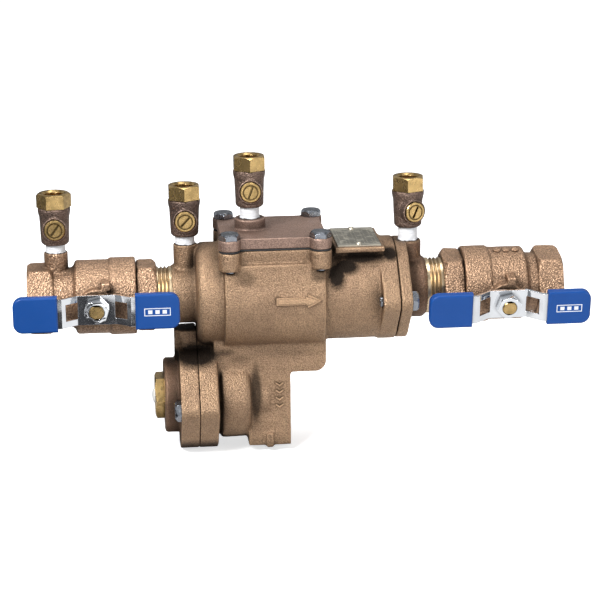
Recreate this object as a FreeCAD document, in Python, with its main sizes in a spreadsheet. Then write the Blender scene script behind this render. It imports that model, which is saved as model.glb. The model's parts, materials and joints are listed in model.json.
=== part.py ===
import FreeCAD, Part
import math
import os
import re
import Sketcher

# Reduced-pressure backflow preventer for a 1 in pipe.
# The pipe axis is X, water flows towards +X, Z is up and -Y is the handle side.
# The origin is the centre of the inlet shutoff's threaded mouth.

DIMENSIONS = {
    # pipe and thread
    "pipe_thread_r": 16.4,
    "pipe_bore_r": 15.15,
    "thread_pitch": 2.209,
    "thread_depth": 1.1,
    "thread_engaged": 10.5,
    "tapped_depth": 15.5,
    "waterway_r": 11.0,
    # ball shutoffs, measured from the ball's centre, the pipe end towards -X
    "inlet_ball_x": 39.6,
    "outlet_ball_x": 278.2,
    "outlet_roll": 10.0,
    "inlet_pipe_end": 39.6,
    "outlet_pipe_end": 35.5,
    "pipe_hex_length": 15.0,
    "pipe_hex_flats": 37.8,
    "valve_neck_r": 17.5,
    "inlet_chamber_start": 12.6,
    "outlet_chamber_start": 14.3,
    "chamber_r": 21.6,
    "rim_start": 7.5,
    "rim_end": 23.2,
    "rim_r": 22.6,
    "cavity_r": 17.4,
    "cap_hex_flats": 38.0,
    "cap_end": 35.2,
    "cap_spigot_start": 12.2,
    "cap_seam": 0.25,
    "ball_r": 16.2,
    "ball_bore_r": 10.5,
    "ball_gap": 0.3,
    "seat_r": 15.0,
    "seat_back": 15.4,
    "seat_front": 10.6,
    "stem_r": 4.3,
    "stem_gap": 0.1,
    "stem_shoulder_r": 6.6,
    "stem_pocket_r": 7.0,
    "stem_shoulder_end": 18.6,
    "stem_boss_r": 10.6,
    "stem_boss_y": 25.2,
    "packing_r": 6.5,
    "packing_depth": 4.5,
    "stem_end_y": 36.0,
    "stop_lug_x": 3.0,
    "stop_lug_z": 9.6,
    "stop_lug_length": 5.0,
    "stop_lug_height": 4.6,
    "stop_lug_depth": 9.6,
    # T handle
    "strip_thickness": 2.0,
    "strip_back_y": 27.8,
    "strip_step": 6.4,
    "strip_flat_half": 11.0,
    "strip_bend_end": 19.5,
    "handle_half": 46.0,
    "strip_height": 17.4,
    "window_start": 10.6,
    "window_end": 17.4,
    "window_height": 9.6,
    "grip_start": 22.0,
    "grip_end": 47.3,
    "grip_height": 20.8,
    "grip_thickness": 5.6,
    "grip_corner_r": 5.5,
    "nut_flats": 12.7,
    "nut_height": 5.6,
    # body casting, stations along the pipe axis
    "body_start": 83.0,
    "body_neck_r": 17.3,
    "drum_x": 97.6,
    "drum_r": 30.0,
    "drum_round": 4.5,
    "chest_x": 113.2,
    "chest_r": 33.0,
    "chest_top_half": 29.6,
    "housing_x": 171.7,
    "housing_r": 29.7,
    "flange_x": 204.0,
    "flange_end": 214.0,
    "body_bore_r": 26.0,
    "partition_x": 165.0,
    "inlet_way_r": 13.0,
    "outlet_way_r": 12.0,
    # top cover
    "arrow_z": 2.2,
    "arrow_half": 2.3,
    "arrow_head_half": 4.3,
    "arrow_rise": 0.8,
    "cover_x": 142.6,
    "cover_half_x": 30.6,
    "cover_half_y": 27.6,
    "bolt_half_x": 26.2,
    "bolt_half_y": 27.2,
    "lug_r": 6.4,
    "cover_flange_low": 20.2,
    "cover_flange_top": 31.2,
    "gasket_thickness": 0.8,
    "cover_thickness": 6.4,
    "cover_opening_x": 20.0,
    "cover_opening_y": 19.5,
    "cover_boss_x": 130.2,
    "cover_boss_r": 9.0,
    "cover_boss_height": 6.4,
    # bolts
    "bolt_r": 3.1,
    "bolt_hole_r": 3.2,
    "bolt_flats": 11.1,
    "bolt_head": 3.6,
    # outlet cover
    "side_bolt_y": 33.0,
    "side_lug_r": 6.8,
    "outlet_flange_r": 30.4,
    "outlet_cover_end": 221.0,
    "hub_end": 233.5,
    "hub_r": 18.5,
    "spigot_start": 208.5,
    "oring_x": 211.3,
    "oring_r": 24.1,
    "oring_wire": 1.35,
    # identity plate
    "plate_x": 192.0,
    "plate_half_x": 12.6,
    "plate_half_y": 21.5,
    "plate_thickness": 0.8,
    "pad_half_x": 14.6,
    "pad_half_y": 24.0,
    "pad_top": 30.45,
    "pad_thickness": 3.4,
    # relief valve
    "relief_z": -62.0,
    "relief_joint_x": 97.4,
    "relief_flange_end": 108.6,
    "relief_flange_r": 32.0,
    "relief_bolt_y": 31.5,
    "relief_drum_end": 128.0,
    "relief_drum_r": 26.4,
    "relief_drum_round": 4.0,
    "seat_boss_end": 139.0,
    "seat_boss_r": 19.4,
    "relief_cavity_end": 126.0,
    "relief_cavity_r": 20.0,
    "diaphragm_r": 27.0,
    "diaphragm_groove": 2.0,
    "relief_cover_start": 86.4,
    "relief_hub_start": 77.6,
    "relief_hub_r": 22.3,
    "relief_lug_half": 9.0,
    "relief_lug_top": -20.6,
    "relief_lug_start": 84.4,
    "sensing_r": 2.0,
    "sensing_z": -27.0,
    "plug_flats": 24.5,
    "plug_end": 72.2,
    "plug_thread_r": 9.0,
    "plug_depth": 8.2,
    "web_thickness": 2.0,
    "plug_cap_r": 4.6,
    "relief_stem_r": 3.0,
    "relief_stroke": 4.0,
    "relief_disc_r": 9.2,
    "relief_seat_r": 10.9,
    "relief_seat_bore_r": 7.3,
    "relief_spring_r": 13.0,
    "relief_spring_wire": 0.9,
    # vent
    "vent_x": 126.5,
    "vent_end": 151.6,
    "vent_half": 18.0,
    "vent_bottom": -90.0,
    "vent_wall": 3.4,
    "vent_ceiling": -46.0,
    "zone_port_r": 6.0,
    "link_end": 172.8,
    "link_bottom": -45.4,
    "link_corner": 6.0,
    # checks
    "check_seat_r": 19.8,
    "check_seat_bore_r": 12.5,
    "check_lip_r": 14.0,
    "check_disc_r": 16.0,
    "poppet_r": 17.2,
    "check_stem_r": 4.0,
    "guide_hub_r": 7.0,
    "guide_hole_r": 4.6,
    "guide_hole_ring_r": 17.6,
    "check_spring_r": 11.0,
    "check_spring_turns": 5,
    "check1_spring_wire": 1.0,
    "check2_spring_wire": 0.8,
    "check1_x": 100.2,
    "check1_guide_x": 137.0,
    "check2_x": 165.1,
    "check2_guide_x": 194.0,
    # test cocks, heights above their bosses
    "cock1_x": 17.1,
    "cock1_boss_z": 27.8,
    "cock2_x": 92.1,
    "cock2_boss_z": 30.5,
    "cock4_x": 223.2,
    "cock4_boss_z": 28.7,
    "cock_boss_r": 6.9,
    "cock_shank_r": 5.1,
    "cock_shank_depth": 8.0,
    "cock_tape_top": 4.7,
    "cock_low_r": 8.1,
    "cock_body_r": 8.7,
    "cock_collar_r": 9.4,
    "cock_body_top": 22.2,
    "cock_collar_top": 26.6,
    "cock_top": 34.9,
    "cock_cavity_r": 6.0,
    "cock_ball_z": 14.9,
    "cock_ball_r": 5.2,
    "cock_port_r": 2.4,
    "cock_way_r": 3.0,
    "cock_stem_r": 3.0,
    "cock_screw_r": 5.9,
    "cock_front_y": 9.5,
    "cock_cap_flats": 17.5,
    "cock_outlet_r": 5.75,
    "cock_outlet_depth": 8.0,
    "cock3_lift": 1.9,
    "cock4_lift": 3.2,
}

doc = FreeCAD.newDocument("backflow_preventer")
sizes = doc.addObject("Spreadsheet::Sheet", "Sizes")
for row, (alias, number) in enumerate(DIMENSIONS.items(), start=1):
    sizes.set(f"A{row}", alias)
    sizes.set(f"B{row}", str(number))
    sizes.setAlias(f"B{row}", alias)
doc.recompute()

X_AXIS = FreeCAD.Vector(1, 0, 0)
Y_AXIS = FreeCAD.Vector(0, 1, 0)
Z_AXIS = FreeCAD.Vector(0, 0, 1)
TO_X = FreeCAD.Rotation(Z_AXIS, X_AXIS)
TO_FRONT = FreeCAD.Rotation(X_AXIS, 90)
UPRIGHT = FreeCAD.Rotation()
FUNCTIONS = {"sqrt", "cos", "sin", "tan", "deg", "mm"}
parts = {}


def formula(text):
    """A formula in plain alias names, written the way the document reads it."""
    def cell(found):
        word = found.group(0)
        return word if word in FUNCTIONS else f"Sizes.{word}"
    return re.sub(r"(?<![\w.])[a-z_][a-z0-9_]*", cell, str(text))


def bind(thing, prop, text):
    thing.setExpression(prop, formula(text))


def place(thing, at=(0, 0, 0), turn=UPRIGHT):
    """Turn an object and bind its position to three formulas."""
    thing.Placement = FreeCAD.Placement(FreeCAD.Vector(), turn)
    for letter, text in zip("xyz", at):
        if str(text) != "0":
            bind(thing, f"Placement.Base.{letter}", text)
    return thing


def cylinder(label, radius, length, at=(0, 0, 0), turn=UPRIGHT):
    thing = doc.addObject("Part::Cylinder", label)
    bind(thing, "Radius", radius)
    bind(thing, "Height", length)
    return place(thing, at, turn)


def ball(label, radius, at=(0, 0, 0)):
    thing = doc.addObject("Part::Sphere", label)
    bind(thing, "Radius", radius)
    return place(thing, at)


def ring_wire(label, radius, wire, at=(0, 0, 0), turn=TO_X):
    thing = doc.addObject("Part::Torus", label)
    bind(thing, "Radius1", radius)
    bind(thing, "Radius2", wire)
    return place(thing, at, turn)


def box(label, size, corner):
    thing = doc.addObject("Part::Box", label)
    for prop, text in zip(("Length", "Width", "Height"), size):
        bind(thing, prop, text)
    return place(thing, corner)


def centred_box(label, x_from, x_to, half_y, z_from, z_to):
    """A box from x_from to x_to and z_from to z_to, half_y to each side."""
    size = (f"({x_to}) - ({x_from})", f"2 * ({half_y})", f"({z_to}) - ({z_from})")
    return box(label, size, (x_from, f"-({half_y})", z_from))


def hexagon(label, flats, length, at=(0, 0, 0), turn=UPRIGHT, spin=0.0):
    """A six-sided prism; spin turns it about its own axis, in degrees."""
    thing = doc.addObject("Part::Prism", label)
    thing.Polygon = 6
    bind(thing, "Circumradius", f"({flats}) / 2 / cos(30 deg)")
    bind(thing, "Height", length)
    return place(thing, at, turn.multiply(FreeCAD.Rotation(Z_AXIS, spin)))


def fuse(label, pieces):
    thing = doc.addObject("Part::MultiFuse", label)
    thing.Shapes = pieces
    thing.Refine = True
    return thing


def cut(label, base, tools):
    thing = doc.addObject("Part::Cut", label)
    thing.Base = base
    thing.Tool = tools[0] if len(tools) == 1 else fuse(label + "_cutters", tools)
    thing.Refine = True
    return thing


def common(label, first, second):
    thing = doc.addObject("Part::MultiCommon", label)
    thing.Shapes = [first, second]
    return thing


def group(label, pieces):
    thing = doc.addObject("Part::Compound", label)
    thing.Links = pieces
    return thing


def outline(body, plane_role, points):
    """A closed sketch with each corner held at a pair of formulas."""
    plane = next(f for f in body.Origin.OriginFeatures if f.Role == plane_role)
    sketch = body.newObject("Sketcher::SketchObject", body.Name + "_outline")
    sketch.AttachmentSupport = [(plane, "")]
    sketch.MapMode = "FlatFace"
    count = len(points)
    start = [FreeCAD.Vector(10 * math.cos(math.tau * i / count),
                            10 * math.sin(math.tau * i / count), 0) for i in range(count)]
    sketch.addGeometry([Part.LineSegment(start[i], start[(i + 1) % count])
                        for i in range(count)], False)
    for i in range(count):
        sketch.addConstraint(Sketcher.Constraint("Coincident", i, 2, (i + 1) % count, 1))
    for i, (across, up) in enumerate(points):
        for kind, text, now in (("DistanceX", across, start[i].x), ("DistanceY", up, start[i].y)):
            index = sketch.addConstraint(Sketcher.Constraint(kind, -1, 1, i, 1, now))
            sketch.setExpression(f"Constraints[{index}]", formula(text))
    return sketch


def turned(label, points, at=(0, 0, 0), turn=UPRIGHT):
    """A lathe part about X from (along, radius) corners."""
    body = doc.addObject("PartDesign::Body", label)
    sketch = outline(body, "XZ_Plane", points)
    feature = body.newObject("PartDesign::Revolution", label + "_turning")
    feature.Profile = sketch
    feature.ReferenceAxis = (sketch, ["H_Axis"])
    feature.Angle = 360
    sketch.Visibility = False
    return place(body, at, turn)


def padded(label, plane_role, points, length, at=(0, 0, 0), turn=UPRIGHT):
    """A flat outline pushed out along its plane's normal (XZ goes to -Y)."""
    body = doc.addObject("PartDesign::Body", label)
    sketch = outline(body, plane_role, points)
    feature = body.newObject("PartDesign::Pad", label + "_pad")
    feature.Profile = sketch
    bind(feature, "Length", length)
    sketch.Visibility = False
    return place(body, at, turn)


def tube(label, outer, inner, x_from, x_to, at=(0, 0, 0), turn=UPRIGHT):
    return turned(label, [(x_from, inner), (x_to, inner), (x_to, outer), (x_from, outer)],
                  at, turn)


def coil(label, radius, wire, x_from, x_to, turns, at=(0, 0, 0)):
    """A round-wire compression spring along X, swept one turn at a time."""
    helix = doc.addObject("Part::Helix", label + "_path")
    bind(helix, "Radius", radius)
    bind(helix, "Height", f"({x_to}) - ({x_from}) - 2 * ({wire})")
    bind(helix, "Pitch", f"(({x_to}) - ({x_from}) - 2 * ({wire})) / ({turns})")
    helix.SegmentLength = 1
    doc.recompute()
    wire_ring = doc.addObject("Part::Circle", label + "_section")
    bind(wire_ring, "Radius", wire)
    place(wire_ring, (radius, 0, 0), TO_FRONT)
    sweep = doc.addObject("Part::Sweep", label)
    sweep.Sections = [wire_ring]
    sweep.Spine = (helix, [f"Edge{n}" for n in range(1, len(helix.Shape.Edges) + 1)])
    sweep.Solid = True
    sweep.Frenet = True
    return place(sweep, (f"({x_from}) + ({wire}) + ({at[0]})", at[1], at[2]), TO_X)


def keep(name, thing):
    """Register a finished piece under its node name."""
    thing.Label = name
    parts[name] = thing
    return thing


def ear_flange(label, round_r, bolt_y, ear_r, x_from, x_to, z):
    """A round plate drawn out into one bolt ear on each side."""
    lean = f"((({round_r}) - ({ear_r})) / ({bolt_y}))"
    rise = f"sqrt(1 - {lean} * {lean})"
    ear = (f"({bolt_y}) + ({ear_r}) * {lean}", f"({ear_r}) * {rise}")
    rim = (f"({round_r}) * {lean}", f"({round_r}) * {rise}")
    corners = [ear, rim, (f"-({rim[0]})", rim[1]), (f"-({ear[0]})", ear[1]),
               (f"-({ear[0]})", f"-({ear[1]})"), (f"-({rim[0]})", f"-({rim[1]})"),
               (rim[0], f"-({rim[1]})"), (ear[0], f"-({ear[1]})")]
    length = f"({x_to}) - ({x_from})"
    plate = padded(label + "_web", "YZ_Plane", corners, length, (x_from, 0, z))
    disc = cylinder(label + "_disc", round_r, length, (x_from, 0, z), TO_X)
    ears = [cylinder(f"{label}_ear{side}", ear_r, length, (x_from, f"{side} * ({bolt_y})", z), TO_X)
            for side in (-1, 1)]
    return fuse(label, [plate, disc] + ears)


def lugged_plate(label, inset, z_from, z_to):
    """The square plate with four round bolt lugs, used by cover, gasket and body."""
    height = f"({z_to}) - ({z_from})"
    plate = box(label + "_plate",
                (f"2 * (cover_half_x - {inset})", f"2 * (cover_half_y - {inset})", height),
                (f"cover_x - cover_half_x + {inset}", f"-cover_half_y + {inset}", z_from))
    lugs = [cylinder(f"{label}_lug{n}", f"lug_r - {inset}", height, (x, y, z_from))
            for n, (x, y) in enumerate(cover_bolt_places())]
    return fuse(label, [plate] + lugs)


def cover_bolt_places():
    return [(f"cover_x + {sx} * bolt_half_x", f"{sy} * bolt_half_y")
            for sx in (-1, 1) for sy in (-1, 1)]


def hex_bolt(label, length, at, turn, spin=0.0):
    """A hex cap screw: head above its seat, shank below it, along its own Z."""
    head = hexagon(label + "_head", "bolt_flats", "bolt_head", (0, 0, 0), UPRIGHT, spin)
    dome = doc.addObject("Part::Cone", label + "_chamfer")
    bind(dome, "Radius1", "bolt_flats * 0.5 + 2.6")
    bind(dome, "Radius2", "bolt_flats * 0.5 - 0.5")
    bind(dome, "Height", "bolt_head")
    shaped = common(label + "_topped", head, dome)
    shank = cylinder(label + "_shank", "bolt_r", f"({length}) + 0.5", (0, 0, f"-({length})"))
    screw = fuse(label, [shaped, shank])
    return place(screw, at, turn)


# ---------------------------------------------------------------- ball shutoffs

def valve_body(name, pipe_end, chamber_start, tapped):
    """Casting with the pipe hex at -X, an open chamber at +X and the stem boss in front."""
    start = f"-{pipe_end}"
    hexed = hexagon(name + "_hex", "pipe_hex_flats", "pipe_hex_length", (start, 0, 0), TO_X, 30)
    hex_round = turned(name + "_hex_turning", [
        (start, 0), (start, "pipe_hex_flats / 2 + 0.6"),
        (f"{start} + 1.6", "pipe_hex_flats / 2 + 2.4"),
        (f"{start} + pipe_hex_length - 2.2", "pipe_hex_flats / 2 + 3.2"),
        (f"{start} + pipe_hex_length", "pipe_hex_flats / 2"),
        (f"{start} + pipe_hex_length", 0)])
    pieces = [common(name + "_pipe_hex", hexed, hex_round)]
    pieces.append(turned(name + "_shell", [
        (f"{start} + pipe_hex_length - 1", 0),
        (f"{start} + pipe_hex_length - 1", "valve_neck_r"),
        (f"-{chamber_start} - 1.5", "valve_neck_r"),
        (f"-{chamber_start}", "valve_neck_r + 1.2"),
        (f"-{chamber_start} + 0.6", "chamber_r - 1"),
        (f"-{chamber_start} + 1.6", "chamber_r"),
        ("rim_start", "chamber_r"),
        ("rim_start + 0.8", "rim_r"),
        ("rim_end - 0.6", "rim_r"),
        ("rim_end", "rim_r - 0.6"),
        ("rim_end", 0)]))
    pieces.append(cylinder(name + "_stem_boss", "stem_boss_r", "stem_boss_y", (0, 0, 0), TO_FRONT))
    lug_at = ("stop_lug_x", "stop_lug_z")
    if not tapped:
        lug_at = ("-stop_lug_length", "-stop_lug_z - stop_lug_height")
    pieces.append(box(name + "_stop_lug", ("stop_lug_length", "stop_lug_depth", "stop_lug_height"),
                      (lug_at[0], "-stem_boss_y", lug_at[1])))
    if tapped:
        pieces.append(cylinder(name + "_cock_boss", "cock_boss_r", "cock1_boss_z",
                               ("cock1_x - inlet_ball_x", 0, 0)))
    solid = fuse(name + "_solid", pieces)
    hollow = [
        cylinder(name + "_tapping", "pipe_bore_r", "tapped_depth + 0.5",
                 (f"{start} - 0.5", 0, 0), TO_X),
        cylinder(name + "_way", "waterway_r", f"{pipe_end}", (start, 0, 0), TO_X),
        cylinder(name + "_seat_pocket", "seat_r", "seat_back", ("-seat_back - 0.1", 0, 0), TO_X),
        cylinder(name + "_cavity", "cavity_r", "rim_end + 13", ("-12", 0, 0), TO_X),
        cylinder(name + "_stem_pocket", "stem_pocket_r", 5, (0, "-14", 0), TO_FRONT),
        cylinder(name + "_stem_bore", "stem_r + stem_gap", 30, (0, 0, 0), TO_FRONT),
        cylinder(name + "_packing_bore", "packing_r", "packing_depth + 1",
                 (0, "-stem_boss_y + packing_depth", 0), TO_FRONT),
    ]
    if tapped:
        hollow.append(cylinder(name + "_cock_tapping", "cock_shank_r + 0.05",
                               "cock_shank_depth + 1",
                               ("cock1_x - inlet_ball_x", 0, "cock1_boss_z - cock_shank_depth")))
        hollow.append(cylinder(name + "_cock_way", "cock_way_r", "cock1_boss_z",
                               ("cock1_x - inlet_ball_x", 0, 0)))
    return cut(name, solid, hollow)


def valve_end_cap(name):
    """Screwed end cap: hex outside, spigot inside the chamber, thread for the nipple."""
    hexed = hexagon(name + "_hex", "cap_hex_flats", "cap_end - rim_end - cap_seam",
                    ("rim_end + cap_seam", 0, 0), TO_X, 30)
    hex_round = turned(name + "_hex_turning", [
        ("rim_end + cap_seam", 0), ("rim_end + cap_seam", "cap_hex_flats / 2 + 0.8"),
        ("rim_end + 1.6", "cap_hex_flats / 2 + 2.4"),
        ("cap_end - 2.4", "cap_hex_flats / 2 + 2.8"),
        ("cap_end", "cap_hex_flats / 2 - 0.4"), ("cap_end", 0)])
    head = common(name + "_head", hexed, hex_round)
    spigot = cylinder(name + "_spigot", "cavity_r - 0.05", "rim_end - cap_spigot_start + 1",
                      ("cap_spigot_start", 0, 0), TO_X)
    solid = fuse(name + "_solid", [head, spigot])
    hollow = [
        cylinder(name + "_way", "waterway_r", 40, (0, 0, 0), TO_X),
        cylinder(name + "_seat_pocket", "seat_r", "seat_back + 0.1", (0, 0, 0), TO_X),
        cylinder(name + "_tapping", "pipe_thread_r + 0.05", 20,
                 ("cap_end - thread_engaged - 0.5", 0, 0), TO_X),
    ]
    return cut(name, solid, hollow)


def valve_seats(name):
    """Two PTFE rings, hollowed to the ball."""
    rings = []
    for side, x_from, x_to in (("pipe", "-seat_back", "-seat_front"),
                               ("cap", "seat_front", "seat_back")):
        ring = tube(f"{name}_{side}_ring", "seat_r - 0.05", "waterway_r", x_from, x_to)
        hollow = ball(f"{name}_{side}_hollow", "ball_r + ball_gap")
        rings.append(cut(f"{name}_{side}", ring, [hollow]))
    return group(name, rings)


def valve_ball(name):
    sphere = ball(name + "_sphere", "ball_r")
    bore = cylinder(name + "_bore", "ball_bore_r", 50, (-25, 0, 0), TO_X)
    slot = box(name + "_slot", (30, 4, 6), (-15, "-ball_r - 1", -3))
    return cut(name, sphere, [bore, slot])


def valve_stem(name):
    """Turned stem with a tang in the ball's slot and two flats at its end."""
    shaft = turned(name + "_shaft", [
        ("ball_r + 0.4", 0), ("ball_r + 0.4", "stem_shoulder_r"),
        ("stem_shoulder_end", "stem_shoulder_r"), ("stem_shoulder_end", "stem_r"),
        ("stem_end_y - 0.7", "stem_r"), ("stem_end_y", "stem_r - 0.7"),
        ("stem_end_y", 0)], (0, 0, 0), FreeCAD.Rotation(Z_AXIS, -90))
    tang = box(name + "_tang", (11, 3.8, 5.8), (-5.5, "-ball_r - 0.9", -2.9))
    tang_round = cylinder(name + "_tang_round", "stem_shoulder_r", 12, (0, -8, 0), TO_FRONT)
    tang_end = common(name + "_tang_end", tang, tang_round)
    solid = fuse(name + "_solid", [shaft, tang_end])
    flats = [box(f"{name}_flat{side}", (12, 9, 3), (-6, "-stem_end_y - 1", low))
             for side, low in (("_top", "stem_r - 0.9"), ("_low", "-stem_r + 0.9 - 3"))]
    return cut(name, solid, flats)


def valve_packing(name):
    return tube(name, "packing_r - 0.05", "stem_r + stem_gap", "stem_boss_y - packing_depth",
                "stem_boss_y - 0.4", (0, 0, 0), FreeCAD.Rotation(Z_AXIS, -90))


def strip_profile():
    """Top view of the handle strip: flat middle, two bends out, straight arms."""
    back = "-strip_back_y"
    out = "-strip_back_y - strip_step"
    rear = [("-handle_half", out), ("-strip_bend_end", out), ("-strip_flat_half", back),
            ("strip_flat_half", back), ("strip_bend_end", out), ("handle_half", out)]
    front = [(x, f"{y} - strip_thickness") for x, y in reversed(rear)]
    return rear + front


def valve_handle(name):
    """Stamped steel T handle with a square-sided window at each bend."""
    strip = padded(name + "_strip", "XY_Plane", strip_profile(), "strip_height",
                   (0, 0, "-strip_height / 2"))
    tools = [cylinder(name + "_hole", "stem_r + 0.05", 50, (0, 0, 0), TO_FRONT)]
    for side, corner in (("_left", "-window_end"), ("_right", "window_start")):
        tools.append(box(name + "_window" + side,
                         ("window_end - window_start", 30, "window_height"),
                         (corner, -50, "-window_height / 2")))
    return cut(name, strip, tools)


def handle_grips(name):
    """Two dipped vinyl sleeves, each a rounded block hollowed to the strip."""
    sleeves = []
    for side, sign in (("_left", -1), ("_right", 1)):
        middle = f"{sign} * (grip_start + grip_end) / 2"
        length = "(grip_end - grip_start)"
        body = doc.addObject("PartDesign::Body", name + side + "_block")
        sketch = outline(body, "XZ_Plane", [
            (f"-{length} / 2", "-grip_height / 2"), (f"{length} / 2", "-grip_height / 2"),
            (f"{length} / 2", "grip_height / 2"), (f"-{length} / 2", "grip_height / 2")])
        pad = body.newObject("PartDesign::Pad", name + side + "_pad")
        pad.Profile = sketch
        bind(pad, "Length", "grip_thickness")
        sketch.Visibility = False
        doc.recompute()
        outer = [f"Edge{n}" for n, edge in enumerate(pad.Shape.Edges, start=1)
                 if abs(edge.tangentAt(edge.FirstParameter).y) > 0.99
                 and edge.CenterOfMass.x * sign > 1]
        rounding = body.newObject("PartDesign::Fillet", name + side + "_corners")
        rounding.Base = (pad, outer)
        bind(rounding, "Radius", "grip_corner_r")
        doc.recompute()
        rims = [f"Edge{n}" for n, edge in enumerate(rounding.Shape.Edges, start=1)
                if abs(edge.CenterOfMass.y) < 0.01
                or abs(edge.CenterOfMass.y + pad.Length.Value) < 0.01]
        soft = body.newObject("PartDesign::Fillet", name + side + "_rims")
        soft.Base = (rounding, rims)
        soft.Radius = 1.2
        place(body, (middle, "-strip_back_y - strip_step - strip_thickness / 2"
                     " + grip_thickness / 2", 0))
        strip = padded(name + side + "_hollow", "XY_Plane", strip_profile(), "strip_height",
                       (0, 0, "-strip_height / 2"))
        sleeves.append(cut(name + side, body, [strip]))
    return group(name, sleeves)


def handle_nut(name):
    nut = hexagon(name + "_hex", "nut_flats", "nut_height",
                  (0, "-strip_back_y - strip_thickness", 0), TO_FRONT, 12)
    face = turned(name + "_face", [
        (0, 0), (0, 9), ("nut_height - 1.4", 9), ("nut_height", "nut_flats / 2 - 0.2"),
        ("nut_height", 0)], (0, "-strip_back_y - strip_thickness", 0),
        FreeCAD.Rotation(Z_AXIS, -90))
    shaped = common(name + "_shaped", nut, face)
    hole = cylinder(name + "_hole", "stem_r + 0.05", 50, (0, 0, 0), TO_FRONT)
    return cut(name, shaped, [hole])


def make_valve(side, tapped, turn):
    """All nine nodes of one shutoff, moved from its own frame to the pipe axis."""
    pieces = {
        "valve_body": valve_body(f"{side}_valve_body", f"{side}_pipe_end",
                                 f"{side}_chamber_start", tapped),
        "valve_end_cap": valve_end_cap(f"{side}_valve_end_cap"),
        "valve_seats": valve_seats(f"{side}_valve_seats"),
        "valve_ball": valve_ball(f"{side}_valve_ball"),
        "valve_stem": valve_stem(f"{side}_valve_stem"),
        "valve_packing": valve_packing(f"{side}_valve_packing"),
        "handle": valve_handle(f"{side}_handle"),
        "handle_grips": handle_grips(f"{side}_handle_grips"),
        "handle_nut": handle_nut(f"{side}_handle_nut"),
    }
    for kind, piece in pieces.items():
        keep(f"{side}_{kind}", moved(f"{side}_{kind}_placed", piece,
                                       (f"{side}_ball_x", 0, 0), turn))


def moved(label, piece, at, turn):
    """The piece carried to its place, keeping its own frame inside."""
    return place(group(label, [piece]), at, turn)


# ---------------------------------------------------------------- body casting

def threaded_nipple(name, x_from, x_to, seen_from, seen_to, turns):
    """Close nipple; the thread's ridges are turned where it shows."""
    crest = "pipe_thread_r"
    root = "(pipe_thread_r - thread_depth)"
    points = [(x_from, "waterway_r"), (x_to, "waterway_r"), (x_to, crest)]
    for n in reversed(range(turns)):
        groove = f"({seen_from} + {seen_to} - ({turns} - 1) * thread_pitch) / 2 + {n} * thread_pitch"
        points.append((f"{groove} + 0.45 * thread_pitch", crest))
        points.append((f"{groove} + 0.08", root))
        points.append((f"{groove} - 0.08", root))
        points.append((f"{groove} - 0.45 * thread_pitch", crest))
    points.append((x_from, crest))
    return turned(name, points)


def body_outside():
    neck = turned("body_neck", [
        ("body_start", 0), ("body_start", "body_neck_r - 1"),
        ("body_start + 1", "body_neck_r"), ("drum_x + 1", "body_neck_r"),
        ("drum_x + 1", 0)])
    drum = turned("body_drum", [
        ("drum_x", 0), ("drum_x", "drum_r - drum_round"),
        ("drum_x + drum_round * 0.1", "drum_r - drum_round * 0.6"),
        ("drum_x + drum_round * 0.3", "drum_r - drum_round * 0.3"),
        ("drum_x + drum_round * 0.6", "drum_r - drum_round * 0.1"),
        ("drum_x + drum_round", "drum_r"),
        ("chest_x + 2", "drum_r"), ("chest_x + 2", 0)])
    chest_low = cylinder("body_chest_low", "chest_r", "housing_x - chest_x", ("chest_x", 0, 0),
                         TO_X)
    chest_high = padded("body_chest_high", "YZ_Plane", [
        ("-chest_r", 0), ("-chest_top_half", "cover_flange_low"),
        ("-chest_top_half", "cover_flange_low + 3"),
        ("chest_top_half", "cover_flange_low + 3"),
        ("chest_top_half", "cover_flange_low"), ("chest_r", 0)],
        "housing_x - chest_x", ("chest_x", 0, 0))
    cap_flange = lugged_plate("body_top_flange", 0, "cover_flange_low", "cover_flange_top")
    housing = cylinder("body_housing", "housing_r", "flange_x - housing_x + 2",
                       ("housing_x - 1", 0, 0), TO_X)
    end_flange = ear_flange("body_end_flange", "outlet_flange_r", "side_bolt_y", "side_lug_r",
                            "flange_x", "flange_end", 0)
    pad = centred_box("body_plate_pad", "plate_x - pad_half_x", "plate_x + pad_half_x",
                      "pad_half_y", "pad_top - pad_thickness", "pad_top")
    pad_web = centred_box("body_pad_web", "plate_x - pad_half_x", "plate_x + pad_half_x",
                          "pad_half_y * 0.72", 10, "pad_top - 1")
    cock_boss = cylinder("body_cock_boss", "cock_boss_r", "cock2_boss_z", ("cock2_x", 0, 0))
    corner = "link_corner"
    link = padded("body_link", "XZ_Plane", [
        ("chest_x", "link_bottom"), (f"link_end - {corner}", "link_bottom"),
        (f"link_end - {corner} * 0.5", f"link_bottom + {corner} * 0.13"),
        (f"link_end - {corner} * 0.13", f"link_bottom + {corner} * 0.5"),
        ("link_end", f"link_bottom + {corner}"), ("link_end", -20), ("chest_x", -20)],
        "2 * vent_half", (0, "vent_half", 0))
    return [neck, drum, chest_low, chest_high, cap_flange, housing, end_flange, pad, pad_web,
            cock_boss, link]


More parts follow.
